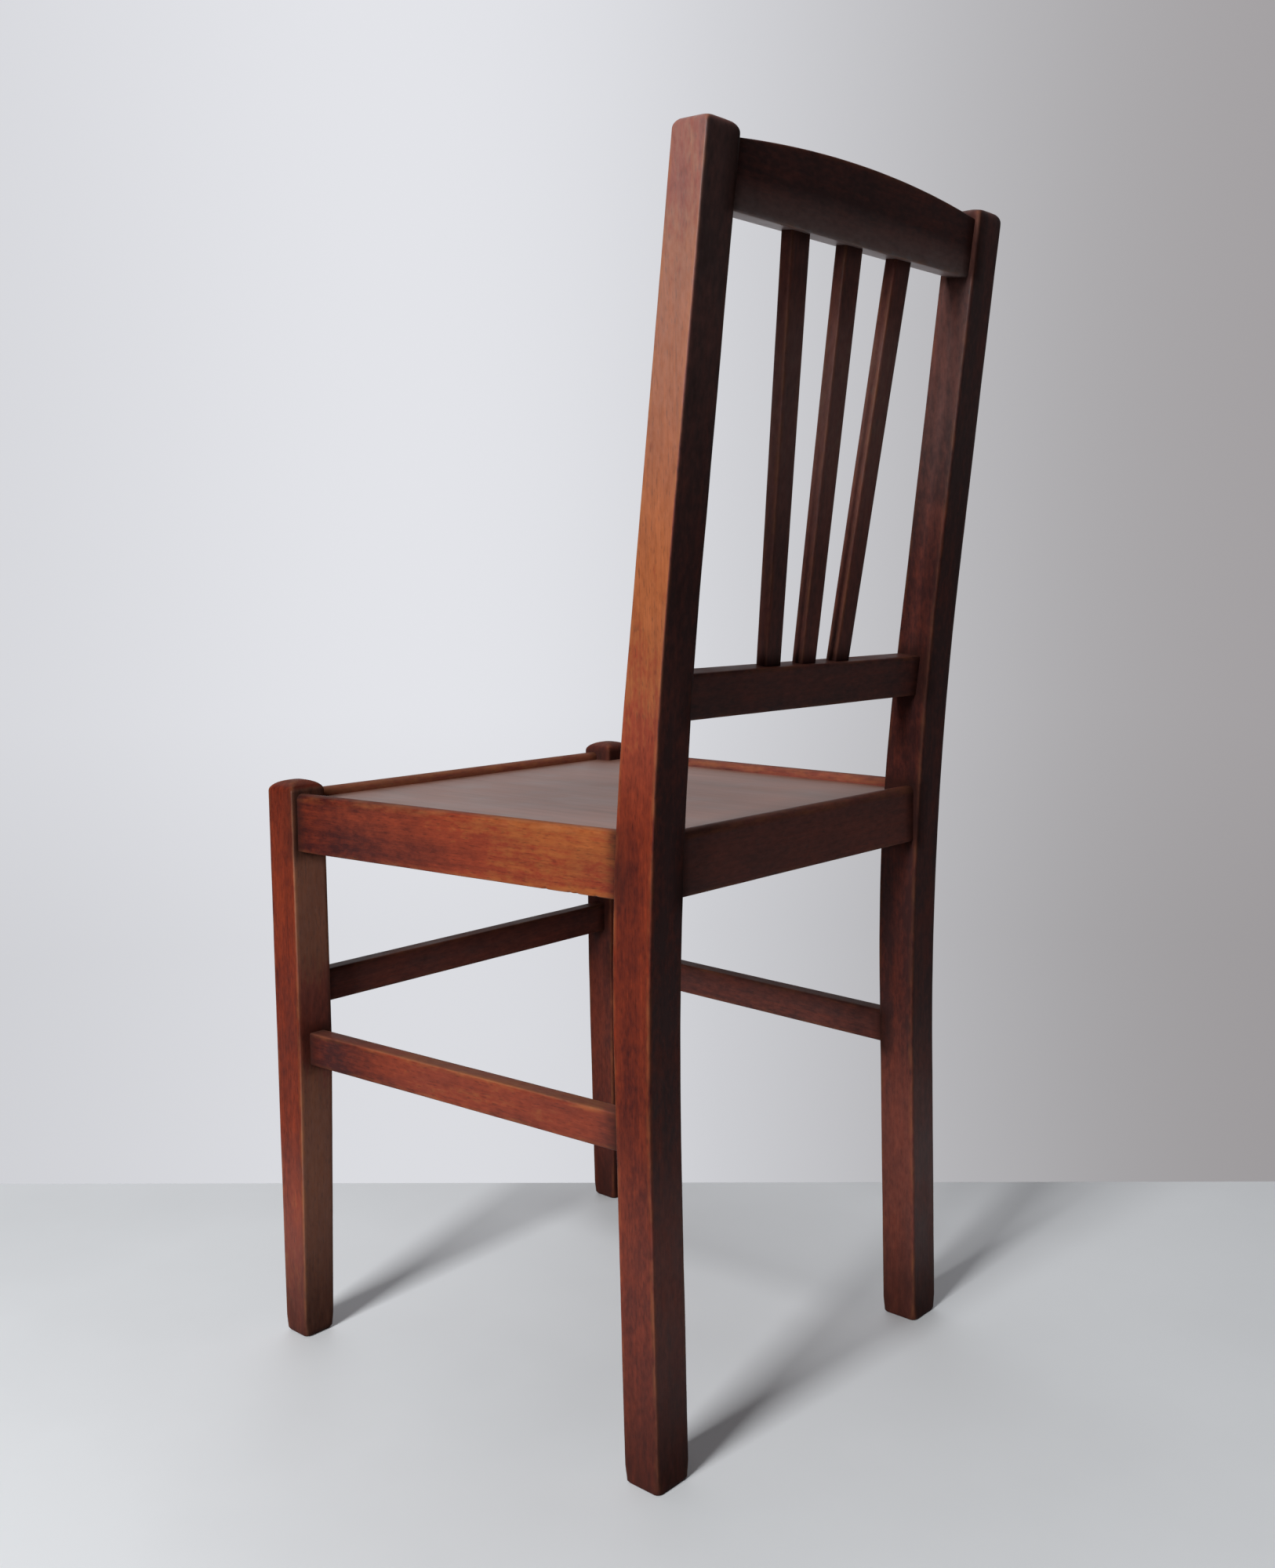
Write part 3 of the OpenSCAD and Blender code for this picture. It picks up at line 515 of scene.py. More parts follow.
class ChairFinish(bpy.types.PropertyGroup):
    deep_stain: FloatVectorProperty(
        name="Deep stain", description="Red-brown stain where it took best",
        default=linear("#3a1412"), size=4, min=0, max=1, subtype="COLOR")
    mid_stain: FloatVectorProperty(
        name="Stain", description="Red-brown stain over most of the wood",
        default=linear("#80341d"), size=4, min=0, max=1, subtype="COLOR")
    gold_stain: FloatVectorProperty(
        name="Golden stain", description="Golden brown where the stain is thinner",
        default=linear("#8c4d25"), size=4, min=0, max=1, subtype="COLOR")
    worn_stain: FloatVectorProperty(
        name="Worn stain", description="Orange-brown where the stain has worn thin",
        default=linear("#ab6131"), size=4, min=0, max=1, subtype="COLOR")
    # Also the colour of a painted highlight along the rounded edges and lips
    bare_arris_and_highlight: FloatVectorProperty(
        name="Bare arris", description="Paler wood on the rubbed arrises",
        default=linear("#a2673f"), size=4, min=0, max=1, subtype="COLOR")
    # Also the colour of the painted shade beside the joints and on the stretchers' tops
    grime: FloatVectorProperty(
        name="Grime", description="Dark wax and dust in the joints",
        default=linear("#33201d"), size=4, min=0, max=1, subtype="COLOR")
    # Also the colour of a painted sheen mixed into the wood's colour
    haze_and_sheen_colour: FloatVectorProperty(
        name="Haze", description="Grey-mauve cloud in the lacquer",
        default=linear("#8b7b78"), size=4, min=0, max=1, subtype="COLOR")
    dust: FloatVectorProperty(
        name="Dust", description="Dust on what faces up",
        default=linear("#6e4a3c"), size=4, min=0, max=1, subtype="COLOR")
    gloss: FloatProperty(
        name="Gloss", description="Roughness of the satin lacquer",
        default=0.4, min=0.1, max=0.8, subtype="FACTOR")


class ChairStage(bpy.types.PropertyGroup):
    floor: FloatVectorProperty(
        name="Floor", description="Pale floor", default=linear("#f0f3f6"),
        size=4, min=0, max=1, subtype="COLOR")
    backdrop: FloatVectorProperty(
        name="Background", description="Pale background", default=linear("#e6e7ec"),
        size=4, min=0, max=1, subtype="COLOR")
    key: FloatProperty(
        name="Window light", description="Soft light from the sitter's left",
        default=176.0, min=0, max=500, subtype="POWER", unit="POWER")
    fill: FloatProperty(
        name="Ceiling glow", description="Wide soft light from above and before the chair",
        default=14.0, min=0, max=500, subtype="POWER", unit="POWER")


# Pieces

def side_at(y, a):
    """How far along a side piece its line at a meets the depth line at y."""
    return (y - LEG_D / 2 - a * math.sin(SIDE_ANGLE)) / math.cos(SIDE_ANGLE)


def on_side(step, a, s):
    """A side piece's point: a out of its outer face and s along it, as x and y."""
    x = LEG_OUT - step + a * math.cos(SIDE_ANGLE) - s * math.sin(SIDE_ANGLE)
    return x, LEG_D / 2 + a * math.sin(SIDE_ANGLE) + s * math.cos(SIDE_ANGLE)


def side_piece_at(step, u, a, b, leg):
    """A side piece's point at the share u of its length from the leg's face to the post."""
    start, end = side_at(leg - BITE, a), side_at(post_front(b) + BITE, a)
    s = start + (end - start) * u
    x, y = on_side(step, a, s)
    return x, y, b, s


def on_back(a, b):
    """A point of the back rest, a out of its middle plane and b up along it, as y and z."""
    y = BACK_Y + a * math.cos(BACK_RAKE) + b * math.sin(BACK_RAKE)
    return y, BACK_Z - a * math.sin(BACK_RAKE) + b * math.cos(BACK_RAKE)


def worn_radius(r, s, seed, wear):
    """A corner's radius at s along a piece, with long and short waves of wear."""
    return max(0.4, r + wear * (wander(s, seed, 55.0) + 0.6 * wander(s, seed + 0.5, 16.0)))


def worn_corners(r, s, seed, wear, shares=(1, 1, 1, 1)):
    """The radii of a section's four corners, each worn in its own way."""
    return [worn_radius(r * share, s, seed + k * 0.7, wear) for k, share in enumerate(shares)]


def oblong(a, far_a, b, far_b, radii):
    """The corners of an oblong section with their radii, from (a, b) on round."""
    places = ((a, b), (far_a, b), (far_a, far_b), (a, far_b))
    return [(*place, r) for place, r in zip(places, radii)]


def dome(t):
    """How far a rounded top has drawn in at the share t of its height, from 0 to 1."""
    return 1 - math.sqrt(1 - clamp(t) ** 2)


def foot_break(s, size):
    """How far a foot's faces draw in at s above the floor, for a break of this size."""
    return size * (1 - math.sqrt(clamp(s / size)))


def foot_wear(s):
    """What the wear at the floor adds to the rounding of a foot's corners."""
    return 2.4 * (1 - ease(s / 14))


class ChairRearPosts(bpy.types.Operator):
    """Makes the two bent rear posts with their rounded tops"""
    bl_idname = "chair.rear_posts"
    bl_label = "Rear posts"

    def execute(self, context):
        sizes = context.scene.chair_sizes
        arris, wear = sizes.arris / MM, sizes.wear / MM
        fall = POST_FALL / (post_rear(POST_TOP) - post_front(POST_TOP))
        neck = POST_TOP - CROWN_H + CROWN_FRONT * fall
        # The seat frame, side stretcher, lower back rail and crest, where dirt gathers and shade
        # is painted beside the joints
        grime = [((100, 0, RAIL_LOW), (172, 362, SEAT_TOP)),
                 ((100, 360, RAIL_LOW), (146, 383, REAR_TOP)),
                 ((100, 0, 228), (168, 353, 253)), ((100, 365, 520), (146, 389, 549)),
                 ((100, 400, 838), (146, 432, 878))]
        stations = [0, 0.4, 0.9, 1.5, 4] + steps_between(8, neck - 4, 5)
        stations += [neck - 1, neck] + [neck + CROWN_H * k / 10 for k in range(1, 11)]
        for side, inner_r, outer_r in (("left", 8.0, 4.0), ("right", 4.5, 7.0)):
            seed = 1 if side == "left" else 2

            def corners_at(s):
                t = clamp((s - neck) / CROWN_H)
                round_in = dome(t * 1.25)
                last = ease((t - 0.8) / 0.2) * 5.0
                foot = foot_break(s, 1.5)
                z = min(s, neck)
                front = post_front(z) + (s - z) * math.tan(RAKE) + foot
                front += CROWN_FRONT * round_in + last
                rear = post_rear(min(s, neck - POST_FALL)) - foot - CROWN_REAR * round_in - last
                inner = POST_IN + foot + inner_r * round_in + last
                outer = POST_OUT - foot - outer_r * round_in - last
                inner += 0.12 * wander(s, seed, 70)
                outer += 0.12 * wander(s, seed + 3, 90)
                worn = worn_corners(arris, s, seed, wear, (0.9, 1.15, 1.0, 1.0))
                radii = [r + foot_wear(s) + 3 * round_in for r in worn]
                return oblong(outer, inner, rear, front, radii)

            def place(s, a, b):
                tilt = rise(s, neck - 40, neck) * fall
                top = min(s, neck + CROWN_H)
                behind = b - post_front(min(s, neck)) - CROWN_FRONT
                return a, b, top - tilt * max(0.0, behind), s

            def look(x, y, z):
                # Darker on the rear face, as painted shade; paler and cloudier above the seat and
                # near the floor, where the cloud is partly a painted sheen
                rear = ease(y - post_rear(min(z, neck)) + SKIN)
                low = 1 - rise(z, 150, 280)
                if side == "left":
                    stain = 0.19 + 0.55 * rise(z, 395, 635) - 0.28 * rise(z, 760, 870)
                    cloud = 0.07 * rise(z, 440, 540) + 0.27 * rise(z, 590, 800) + 0.05 * low
                else:
                    # The right post's stain is kept dark, partly as a painted shadow of the near
                    # post and the back rest on it
                    stain = 0.04 + 0.26 * low + 0.12 * rise(z, 680, 800)
                    cloud = 0.05 + 0.16 * rise(z, 600, 750) + 0.08 * low
                dark = 0.06 + 0.2 * low
                stain = dark * rear + stain * (1 - rear)
                return stain, cloud * (1 - 0.4 * rear) + (0.04 + 0.06 * low) * rear

            piece = board("bent_rear_post_" + side, stations, corners_at, place, seed,
                          mirror=side == "right", grime=grime, look=look)
            dress(piece, beech(), "stained_beech", "rear_post_" + side)
        return {"FINISHED"}


class ChairFrontLegs(bpy.types.Operator):
    """Makes the two tapered front legs with their domed tops"""
    bl_idname = "chair.front_legs"
    bl_label = "Front legs"

    def execute(self, context):
        sizes = context.scene.chair_sizes
        arris, wear = sizes.arris / MM, sizes.wear / MM
        neck = LEG_TOP - LEG_DOME
        # Side rail, front rail, side stretcher and front stretcher, where dirt gathers and shade
        # is painted beside the joints
        grime = [((166, LEG_D, RAIL_LOW), (194, 60, SEAT_TOP)),
                 ((100, 4, RAIL_LOW), (168, 26, SEAT_TOP)),
                 ((173, 30, 228), (189, 60, 253)), ((100, 8, 273), (168, 22, 299))]
        stations = [0, 0.6, 1.4, 2.5, 5] + steps_between(8, neck, 5)
        stations += [neck + LEG_DOME * math.sin(math.pi / 2 * k / 9) for k in range(1, 10)]
        for side in ("left", "right"):
            seed = 3 if side == "left" else 4

            def corners_at(s):
                draw = dome((s - neck) / LEG_DOME)
                foot = foot_break(s, 2.5)
                width = LEG_FOOT_W + (LEG_OUT - LEG_IN - LEG_FOOT_W) * clamp(s / KNEE)
                dx, dy = 13.5 * draw + foot, 13.2 * draw + foot
                inner = LEG_OUT - width + dx + 0.1 * wander(s, seed, 60)
                rear = leg_rear(s) - dy + 0.1 * wander(s, seed + 2, 70)
                worn = worn_corners(arris, s, seed, wear, (1.0, 1.0, 0.9, 1.1))
                radii = [r + 3 * draw + foot_wear(s) for r in worn]
                return oblong(LEG_OUT - dx, inner, rear, dy, radii)

            def place(s, a, b):
                return a, b, s, s

            def look(x, y, z):
                if side == "right":
                    return 0.2, 0.05
                # The rear face is paler and cloudier, less so where the stretcher joins it:
                # painted window light and sheen on that face
                rear = ease(y - leg_rear(z) + SKIN)
                low = 1 - rise(z, 40, 200)
                held = math.exp(-((z - 262) / 50) ** 2)
                stain = 0.25 + 0.5 * rear * (1 - held) * (1 - 0.3 * low) + 0.18 * low
                return stain, 0.3 * rear * (1 - 0.7 * held) * (1 - 0.5 * low) + 0.13 * low

            piece = board("tapered_front_leg_" + side, stations, corners_at, place, seed,
                          mirror=side == "right", grime=grime, look=look)
            dress(piece, beech(), "stained_beech", "front_leg_" + side)
        return {"FINISHED"}


def rail_corners(top, r):
    """A seat rail's section, with the lip outside and the panel's ledge inside."""
    return [(0, RAIL_LOW, r), (0, top, LIP_R), (-LIP_W, top, LIP_R), (-LIP_W, LEDGE, 0),
            (-RAIL_T, LEDGE, 0.6), (-RAIL_T, RAIL_LOW, r)]


class ChairSeatRails(bpy.types.Operator):
    """Makes the four seat rails with the rounded lip round the panel"""
    bl_idname = "chair.seat_rails"
    bl_label = "Seat rails"

    def execute(self, context):
        wear = context.scene.chair_sizes.wear / MM
        joints = [LEG_BOX, ((POST_IN, 353, 0), (POST_OUT, 390, 460))]
        stations = [0.0, 0.004] + steps_between(0.02, 0.77, 5 / SIDE_RUN)
        stations += steps_between(0.775, 0.98, 1.2 / SIDE_RUN) + [0.99, 0.996, 1.0]
        for side in ("left", "right"):
            seed = 25 if side == "left" else 6

            def corners_at(u):
                s = u * SIDE_RUN
                chips = sum(1.5 * math.exp(-((s - at) / 1.8) ** 2) for at in RAIL_CHIPS)
                chips = chips if side == "left" else 0.0
                rail = rail_corners(SEAT_TOP, worn_radius(1.1, s, seed, wear * 1.4) + chips)
                return inset(rail, 0.5) if u in (0.0, 1.0) else rail

            def place(u, a, b):
                return side_piece_at(SIDE_IN, u, a, b, LEG_D)

            def look(x, y, z):
                if side == "right":
                    return 0.34, 0.12
                # Paler towards the rear post
                return 0.11 + 0.46 * rise(y, 60, 320), 0.03 * rise(y, 20, 120)

            piece = board("side_seat_rail_with_lip_" + side, stations, corners_at, place, seed,
                          mirror=side == "right", grime=joints, look=look)
            dress(piece, beech(), "stained_beech", "side_seat_rail_" + side)
        for end, top, half, seed, tone in (("front", SEAT_TOP, LEG_IN, 7, 0.52),
                                           ("rear", REAR_TOP, POST_IN, 8, 0.29)):
            def corners_at(s):
                return rail_corners(top, worn_radius(1.1, s, seed, wear))

            def place(s, a, b):
                return s, (FRONT_RAIL_Y - a if end == "front" else REAR_RAIL_Y + a), b, s

            grime = [((m * half - 9 + 9 * m, -50, 0), (m * half + 9 + 9 * m, 450, 460))
                     for m in (-1, 1)]
            piece = board(end + "_seat_rail_with_lip", steps_between(-half - BITE, half + BITE, 6),
                          corners_at, place, seed, grime=grime, look=(tone, 0.16))
            dress(piece, beech(), "stained_beech", end + "_seat_rail")
        return {"FINISHED"}


def panel_corners():
    """The seat panel's outline with its notches round legs and posts, left half then right."""
    front = FRONT_RAIL_Y + LIP_W + PANEL_GAP
    rear = REAR_RAIL_Y - LIP_W - PANEL_GAP

    def edge_x(y):
        return on_side(SIDE_IN, -LIP_W - PANEL_GAP, side_at(y, -LIP_W - PANEL_GAP))[0]

    leg_y, post_y = LEG_D + PANEL_GAP, post_front(LEDGE) - PANEL_GAP
    post_x, leg_x = POST_IN - PANEL_GAP, LEG_IN - PANEL_GAP
    half = [(post_x, rear), (post_x, post_y), (edge_x(post_y), post_y),
            (edge_x(leg_y), leg_y), (leg_x, leg_y), (leg_x, front)]
    full = half + [(-x, y) for x, y in reversed(half)]
    return [(x, y, 0.7) for x, y in full]


class ChairSeatPanel(bpy.types.Operator):
    """Makes the plywood seat panel"""
    bl_idname = "chair.seat_panel"
    bl_label = "Seat panel"

    def execute(self, context):
        corners = panel_corners()
        # The levels of the panel's edge, and how far it is drawn in there
        levels = {0: (LEDGE, 0.0), 1: (PANEL_TOP - 0.6, 0.0), 2: (PANEL_TOP - 0.2, 0.2),
                  3: (PANEL_TOP, 0.7), 4: (PANEL_TOP, 4.0)}

        def corners_at(k):
            return inset(corners, levels[k][1]) if levels[k][1] else corners

        def place(k, a, b):
            return a, b, levels[k][0], 0.0

        piece = board("plywood_seat_panel", list(levels), corners_at, place, 9)
        finish = once("stained birch plywood, worn satin lacquer", stained_plywood)
        dress(piece, finish, "stained_plywood", "seat_panel")
        return {"FINISHED"}


class ChairBackRails(bpy.types.Operator):
    """Makes the arched crest rail and the lower back rail"""
    bl_idname = "chair.back_rails"
    bl_label = "Back rails"

    def execute(self, context):
        sizes = context.scene.chair_sizes
        arris, wear = sizes.rail_arris / MM, sizes.wear / MM
        arch = (POST_IN ** 2 + CREST_RISE ** 2) / (2 * CREST_RISE)
        posts = [((POST_IN, 300, 500), (POST_OUT, 460, 900)),
                 ((-POST_OUT, 300, 500), (-POST_IN, 460, 900))]

        def crest(s):
            top = SLAT_L + CREST_END + CREST_RISE - (arch - math.sqrt(arch ** 2 - s * s))
            low, up = worn_radius(1.3, s, 10.3, wear), worn_radius(arris, s, 10.9, wear)
            return oblong(-CREST_T / 2, CREST_T / 2, SLAT_L, top, (low, low, up, up))

        def lower(s):
            radii = [worn_radius(arris, s, 11.3, wear)] * 4
            return oblong(-LOW_RAIL_T / 2, LOW_RAIL_T / 2, -LOW_RAIL_H, 0, radii)

        def place(s, a, b):
            y, z = on_back(a, b)
            return s, y, z, s

        def crest_look(x, y, z):
            # The lower edge is paler and lilac: a painted sheen on the underside, partly a thicker
            # cloud in the lacquer
            under = 1 - ease((z - on_back(0, SLAT_L)[1] - 1.5) / 2)
            return 0.06 + 0.36 * under, 0.12 + 0.8 * under

        stations = steps_between(-POST_IN - BITE, POST_IN + BITE, 6)
        for name, node, section, seed, look in (
                ("arched_crest_rail", "crest_rail", crest, 10, crest_look),
                ("lower_back_rail_bar", "lower_back_rail", lower, 11, (0.16, 0.14))):
            piece = board(name, stations, section, place, seed, grime=posts, look=look)
            dress(piece, beech(), "stained_beech", node)
        return {"FINISHED"}


class ChairBackSlats(bpy.types.Operator):
    """Makes the three fanned back slats"""
    bl_idname = "chair.back_slats"
    bl_label = "Back slats"

    def execute(self, context):
        wear = context.scene.chair_sizes.wear / MM
        rails = [((-150, 360, 515), (150, 392, 550)), ((-150, 400, 837), (150, 440, 890))]
        stations = steps_between(-BITE, SLAT_L + BITE, 5)
        for k, side in ((1, "left"), (0, "middle"), (-1, "right")):
            seed = 13 + k

            def corners_at(s):
                up = s / SLAT_L
                mid = k * (SLAT_FOOT_PITCH + (SLAT_TOP_PITCH - SLAT_FOOT_PITCH) * up)
                half = (SLAT_FOOT_W + (SLAT_TOP_W - SLAT_FOOT_W) * up) / 2
                radii = worn_corners(1.0, s, seed, wear * 0.7)
                return oblong(mid + half, mid - half, SLAT_T / 2, -SLAT_T / 2, radii)

            def place(s, a, b):
                y, z = on_back(b, s)
                return a, y, z, s

            def look(x, y, z):
                # Paler and cloudier in the upper half, but for the last part below the crest: a
                # painted sheen, partly a hazier lacquer
                high = rise(z, 600, 720) * (1 - 0.9 * rise(z, 765, 810))
                return 0.2 - 0.03 * k + 0.24 * high, 0.16 + 0.22 * high

            piece = board("fanned_back_slat_" + side, stations, corners_at, place, seed,
                          grime=rails, look=look)
            dress(piece, beech(), "stained_beech", "back_slat_" + side)
        return {"FINISHED"}


class ChairStretchers(bpy.types.Operator):
    """Makes the two side stretchers and the front stretcher"""
    bl_idname = "chair.stretchers"
    bl_label = "Stretchers"

    def execute(self, context):
        sizes = context.scene.chair_sizes
        arris, wear = sizes.rail_arris / MM, sizes.wear / MM

        def bar(top, s, seed):
            return oblong(-BAR_T, 0, top - BAR_H, top, worn_corners(arris, s, seed, wear))

        joints = [LEG_BOX, ((POST_IN, 347, 0), (POST_OUT, 390, 460))]
        # Dirt on the right stretcher's top, which also darkens it as painted shade
        top_dirt_and_shade = [((100, 0, SIDE_BAR_TOP + 2.5), (200, 400, 280))]
        stations = [0.0, 0.004] + steps_between(0.02, 0.98, 6 / SIDE_RUN) + [0.996, 1.0]
        for side in ("left", "right"):
            seed = 16 if side == "left" else 17

            def corners_at(u):
                section = bar(SIDE_BAR_TOP, u * SIDE_RUN, seed)
                return inset(section, 0.4) if u in (0.0, 1.0) else section

            def place(u, a, b):
                return side_piece_at(SIDE_BAR_IN, u, a, b, leg_rear(b))

            def look(x, y, z):
                if side == "right":
                    return 0.17, 0.1
                # Paler along the middle, and paler and cloudier on top: on top partly worn by
                # feet, partly painted light and sheen on the face that looks up
                top = ease(z - SIDE_BAR_TOP + SKIN)
                stain = 0.39 * rise(y, 50, 160) - 0.25 * rise(y, 320, 345)
                return stain + 0.2 * top, 0.02 + 0.035 * rise(y, 80, 180) + 0.1 * top

            grime = joints if side == "left" else joints + top_dirt_and_shade
            piece = board("side_stretcher_bar_" + side, stations, corners_at, place, seed,
                          mirror=side == "right", grime=grime, look=look)
            dress(piece, beech(), "stained_beech", "side_stretcher_" + side)

        def front_at(s):
            return bar(FRONT_BAR_TOP, s, 18)

        def place(s, a, b):
            return s, FRONT_BAR_Y - a, b, s

        # The joints with the legs, and the top face, which dirt darkens and dulls, partly as
        # painted shade
        joints = [LEG_BOX, FAR_LEG_BOX,
                  ((-LEG_IN, 0, FRONT_BAR_TOP + 2.5), (LEG_IN, 40, 320))]
        piece = board("front_stretcher_bar", steps_between(-LEG_IN - BITE, LEG_IN + BITE, 6),
                      front_at, place, 18, grime=joints, look=(0.26, 0.12))
        dress(piece, beech(), "stained_beech", "front_stretcher")
        return {"FINISHED"}


class ChairCornerBlocks(bpy.types.Operator):
    """Finishes the corner blocks and their screws under the seat"""
    bl_idname = "chair.corner_blocks"
    bl_label = "Corner blocks"

    def execute(self, context):
        for node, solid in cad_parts.items():
            if node.startswith("corner_block"):
                finish = (once("zinc-plated steel", zinc_steel) if node.endswith("screws")
                          else once("bare sawn beech", bare_beech))
                for spot in solid.material_slots:
                    spot.material = finish
        return {"FINISHED"}


# Stage

# The camera's place in metres, its aim and its roll, its lens and frame in millimetres, and
# its shift as a share of the frame
EYE = Vector((0.90140, 0.80338, 0.60572))
LOOK = Vector((-0.742608, -0.662441, -0.098513)).normalized()
ROLL = math.radians(-0.652)
LENS, FRAME_SIZE, FRAME_SHIFT = 35.008, 36.0, -0.0293

# How far the floor reaches from below the camera, and how far its far edge is turned
FLOOR_REACH, FLOOR_SKEW = 1.506, 0.0245
FLOOR_BACK, FLOOR_HALF = -3.0, 3.5

# The place, the size and the aim of each lamp, in metres
WINDOW_LIGHT = ((3.6, 0.36, 2.0), (1.0, 1.7), (0, 0, 0.45))
CEILING_GLOW = ((0.0, -0.5, 3.2), (3.0, 3.0), (0, -0.5, 0))


class ChairStageSet(bpy.types.Operator):
    """Makes the floor, the background, the light and the camera"""
    bl_idname = "chair.stage"
    bl_label = "Stage"

    def execute(self, context):
        scene, stage = context.scene, context.scene.chair_stage
        self.floor(stage)
        self.background(scene, stage)
        self.light("window light", *WINDOW_LIGHT, stage.key)
        self.light("ceiling glow", *CEILING_GLOW, stage.fill)
        self.camera(scene)
        scene.view_settings.view_transform = "Standard"
        return {"FINISHED"}

    def floor(self, stage):
        """A pale floor that ends where the background begins. The camera sees it pale, also
        mirrored or through glass; the soft light that it throws up comes off a dark one."""
        ahead = Vector((LOOK.x, LOOK.y, 0)).normalized()
        across = Vector((ahead.y, -ahead.x, 0)) * FLOOR_HALF
        foot = Vector((EYE.x, EYE.y, 0))
        skew = FLOOR_SKEW * FLOOR_HALF
        mesh = bpy.data.meshes.new("floor")
        mesh.from_pydata([foot + ahead * FLOOR_BACK - across, foot + ahead * FLOOR_BACK + across,
                          foot + ahead * (FLOOR_REACH - skew) + across,
                          foot + ahead * (FLOOR_REACH + skew) - across],
                         [], [(0, 1, 2, 3)])
        finish, tree = new_finish("pale matt floor")
        coords = add(tree, "ShaderNodeTexCoord", out="Object")
        # Faint clouds about a third of a metre across
        mottle = add(tree, NOISE, {"Vector": coords, "Scale": 3.0, "Detail": 4.0})
        pale = tuple(stage.floor)
        dull = tuple(c * 0.94 for c in pale[:3]) + (1.0,)
        dark = tuple(c * 0.3 for c in pale[:3]) + (1.0,)
        cloudy = add(tree, RAMP, {"Fac": mottle}, stops=[(0.35, dull), (0.65, pale)])
        seen, mirrored = self.seen(tree)
        seen = add(tree, MATH, (seen, mirrored), operation="MAXIMUM")
        colour = add(tree, MIX, {FACTOR: seen, UNDER: dark, OVER: cloudy}, MIXED,
                     data_type="RGBA")
        skin = add(tree, "ShaderNodeBsdfPrincipled", {"Base Color": colour, "Roughness": 0.6})
        add(tree, "ShaderNodeOutputMaterial", {"Surface": skin})
        mesh.materials.append(finish)
        floor = bpy.data.objects.new("floor", mesh)
        bpy.context.scene.collection.objects.link(floor)

    def seen(self, tree):
        """1 for the camera's rays, and 1 for rays that left metal, lacquer or glass."""
        camera = add(tree, "ShaderNodeLightPath", out="Is Camera Ray")
        glossy = add(tree, "ShaderNodeLightPath", out="Is Glossy Ray")
        through = add(tree, "ShaderNodeLightPath", out="Is Transmission Ray")
        return camera, add(tree, MATH, (glossy, through), operation="MAXIMUM")

    def background(self, scene, stage):
        """The camera sees a pale background with painted light on it: brighter on the left, where
        the window light falls, darker on the right and a little darker towards the floor. So do
        rays that left metal, lacquer or glass towards the side behind the chair. All other rays
        see a bright side behind the chair and a dim room on the other sides."""
        world = bpy.data.worlds.new("soft room")
        world.use_nodes = True
        scene.world = world
        tree = world.node_tree
        tree.nodes.clear()
        aim = add(tree, "ShaderNodeTexCoord", out="Generated")
        ahead = add(tree, "ShaderNodeVectorMath", (aim, (LOOK.x, LOOK.y, 0.0)), "Value",
                    operation="DOT_PRODUCT")
        across = add(tree, "ShaderNodeVectorMath", (aim, (LOOK.y, -LOOK.x, 0.0)), "Value",
                     operation="DOT_PRODUCT")
        across = add(tree, MATH, (across, 0.5), operation="ADD")
        # Brighter on the left, where the window light falls, and darker on the right
        fall = add(tree, RAMP, {"Fac": across},
                   stops=[(0.1, 0.84), (0.25, 0.95), (0.4, 1.0), (0.55, 0.85),
                          (0.74, (0.52, 0.505, 0.495, 1.0)), (0.9, (0.45, 0.42, 0.41, 1.0))])
        fall.node.color_ramp.interpolation = "B_SPLINE"
        pale = tuple(stage.backdrop)
        lit = add(tree, MIX, {FACTOR: 1.0, UNDER: fall, OVER: pale}, MIXED, **TINT)
        glow = add(tree, RAMP, {"Fac": ahead}, stops=[(0.0, 0.02), (0.3, 0.06), (0.85, 1.0)])
        room = add(tree, MIX, {FACTOR: 1.0, UNDER: glow, OVER: lit}, MIXED, **TINT)
        # A little darker towards the floor
        height = add(tree, "ShaderNodeSeparateXYZ", {"Vector": aim}, out="Z")
        height = add(tree, MATH, (height, 0.5), operation="ADD")
        foot = add(tree, RAMP, {"Fac": height}, stops=[(0.28, 0.92), (0.42, 1.0)])
        backdrop = add(tree, MIX, {FACTOR: 1.0, UNDER: lit, OVER: foot}, MIXED, **TINT)
        seen, mirrored = self.seen(tree)
        behind = add(tree, RAMP, {"Fac": ahead}, stops=[(0.3, 0.0), (0.85, 1.0)])
        mirrored = add(tree, MATH, (mirrored, behind), operation="MULTIPLY")
        seen = add(tree, MATH, (seen, mirrored), operation="MAXIMUM")
        shade = add(tree, MIX, {FACTOR: seen, UNDER: room, OVER: backdrop}, MIXED,
                    data_type="RGBA")
        back = add(tree, "ShaderNodeBackground", {"Color": shade, "Strength": 1.0})
        add(tree, "ShaderNodeOutputWorld", {"Surface": back})

    def light(self, name, at, size, target, power):
        """A soft oblong lamp that faces a target."""
        lamp = bpy.data.lights.new(name, "AREA")
        lamp.shape = "RECTANGLE"
        lamp.size, lamp.size_y = size
        lamp.energy = power
        item = bpy.data.objects.new(name, lamp)
        item.location = at
        aim = Vector(target) - item.location
        item.rotation_euler = aim.to_track_quat("-Z", "Y").to_euler()
        bpy.context.scene.collection.objects.link(item)

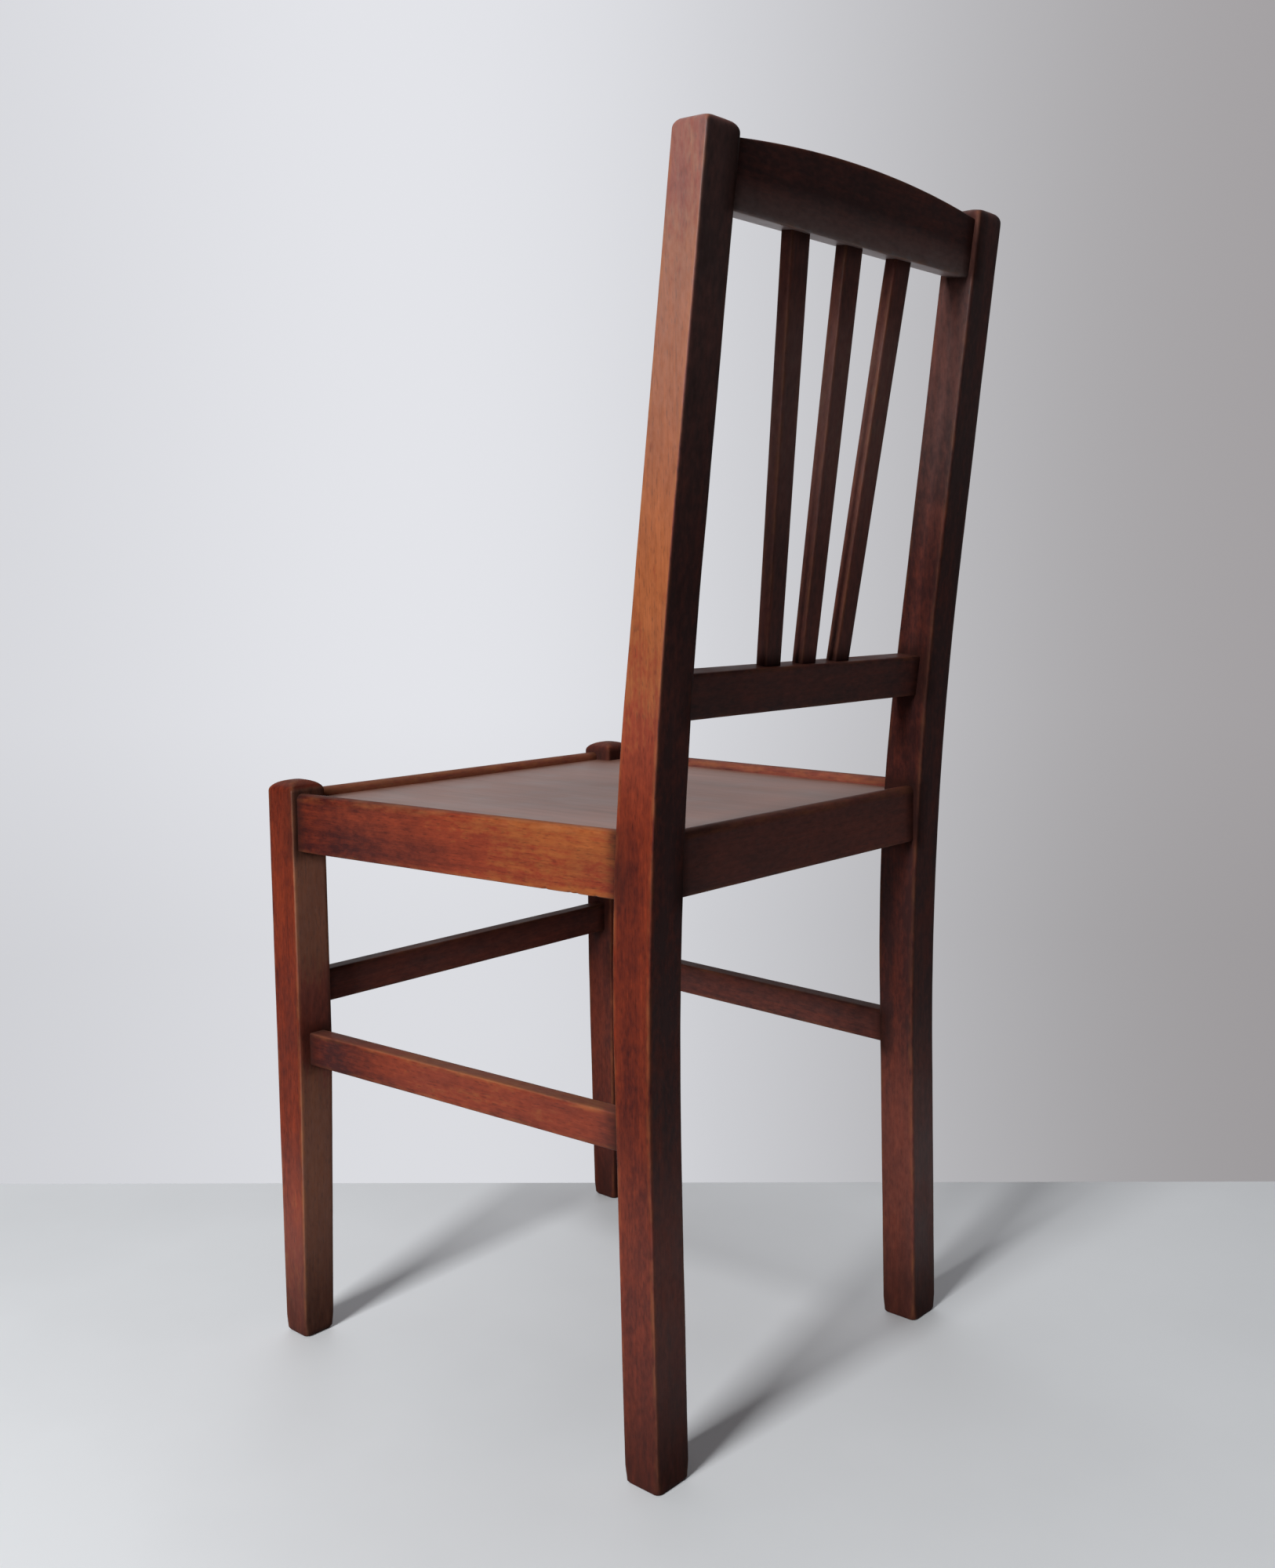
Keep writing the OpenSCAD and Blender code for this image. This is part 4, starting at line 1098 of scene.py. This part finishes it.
    def camera(self, scene):
        """The camera at the photograph's viewing angle."""
        data = bpy.data.cameras.new("camera")
        data.lens, data.sensor_width, data.shift_y = LENS, FRAME_SIZE, FRAME_SHIFT
        data.clip_start, data.clip_end = 0.05, 50.0
        right = LOOK.cross(Vector((0, 0, 1))).normalized()
        up = right.cross(LOOK)
        turned = right * math.cos(ROLL) + up * math.sin(ROLL)
        lifted = up * math.cos(ROLL) - right * math.sin(ROLL)
        eye = bpy.data.objects.new("camera", data)
        turn = Matrix((turned, lifted, -LOOK)).transposed()
        eye.matrix_world = Matrix.Translation(EYE) @ turn.to_4x4()
        scene.collection.objects.link(eye)
        scene.camera = eye


# Panel and start

PIECES = (ChairRearPosts, ChairFrontLegs, ChairSeatRails, ChairSeatPanel, ChairBackRails,
          ChairBackSlats, ChairStretchers, ChairCornerBlocks, ChairStageSet)


class ChairPanel(bpy.types.Panel):
    """Lists the chair's pieces and what a user would change"""
    bl_idname = "VIEW3D_PT_chair"
    bl_label = "Bistro chair"
    bl_space_type = "VIEW_3D"
    bl_region_type = "UI"
    bl_category = "Chair"

    def draw(self, context):
        scene = context.scene
        for group in (scene.chair_sizes, scene.chair_finish, scene.chair_stage):
            box = self.layout.box()
            for key in group.bl_rna.properties.keys():
                if key not in ("rna_type", "name"):
                    box.prop(group, key)
        for piece in PIECES:
            self.layout.operator(piece.bl_idname)


GROUPS = (ChairSizes, ChairFinish, ChairStage)


def register():
    for made in GROUPS + PIECES + (ChairPanel,):
        bpy.utils.register_class(made)
    bpy.types.Scene.chair_sizes = PointerProperty(type=ChairSizes)
    bpy.types.Scene.chair_finish = PointerProperty(type=ChairFinish)
    bpy.types.Scene.chair_stage = PointerProperty(type=ChairStage)


def unregister():
    for key in ("chair_sizes", "chair_finish", "chair_stage"):
        delattr(bpy.types.Scene, key)
    for made in reversed(GROUPS + PIECES + (ChairPanel,)):
        bpy.utils.unregister_class(made)


def main():
    """Makes the chair and its stage."""
    register()
    for piece in PIECES:
        group, name = piece.bl_idname.split(".")
        getattr(getattr(bpy.ops, group), name)()


if __name__ == "__main__":
    main()
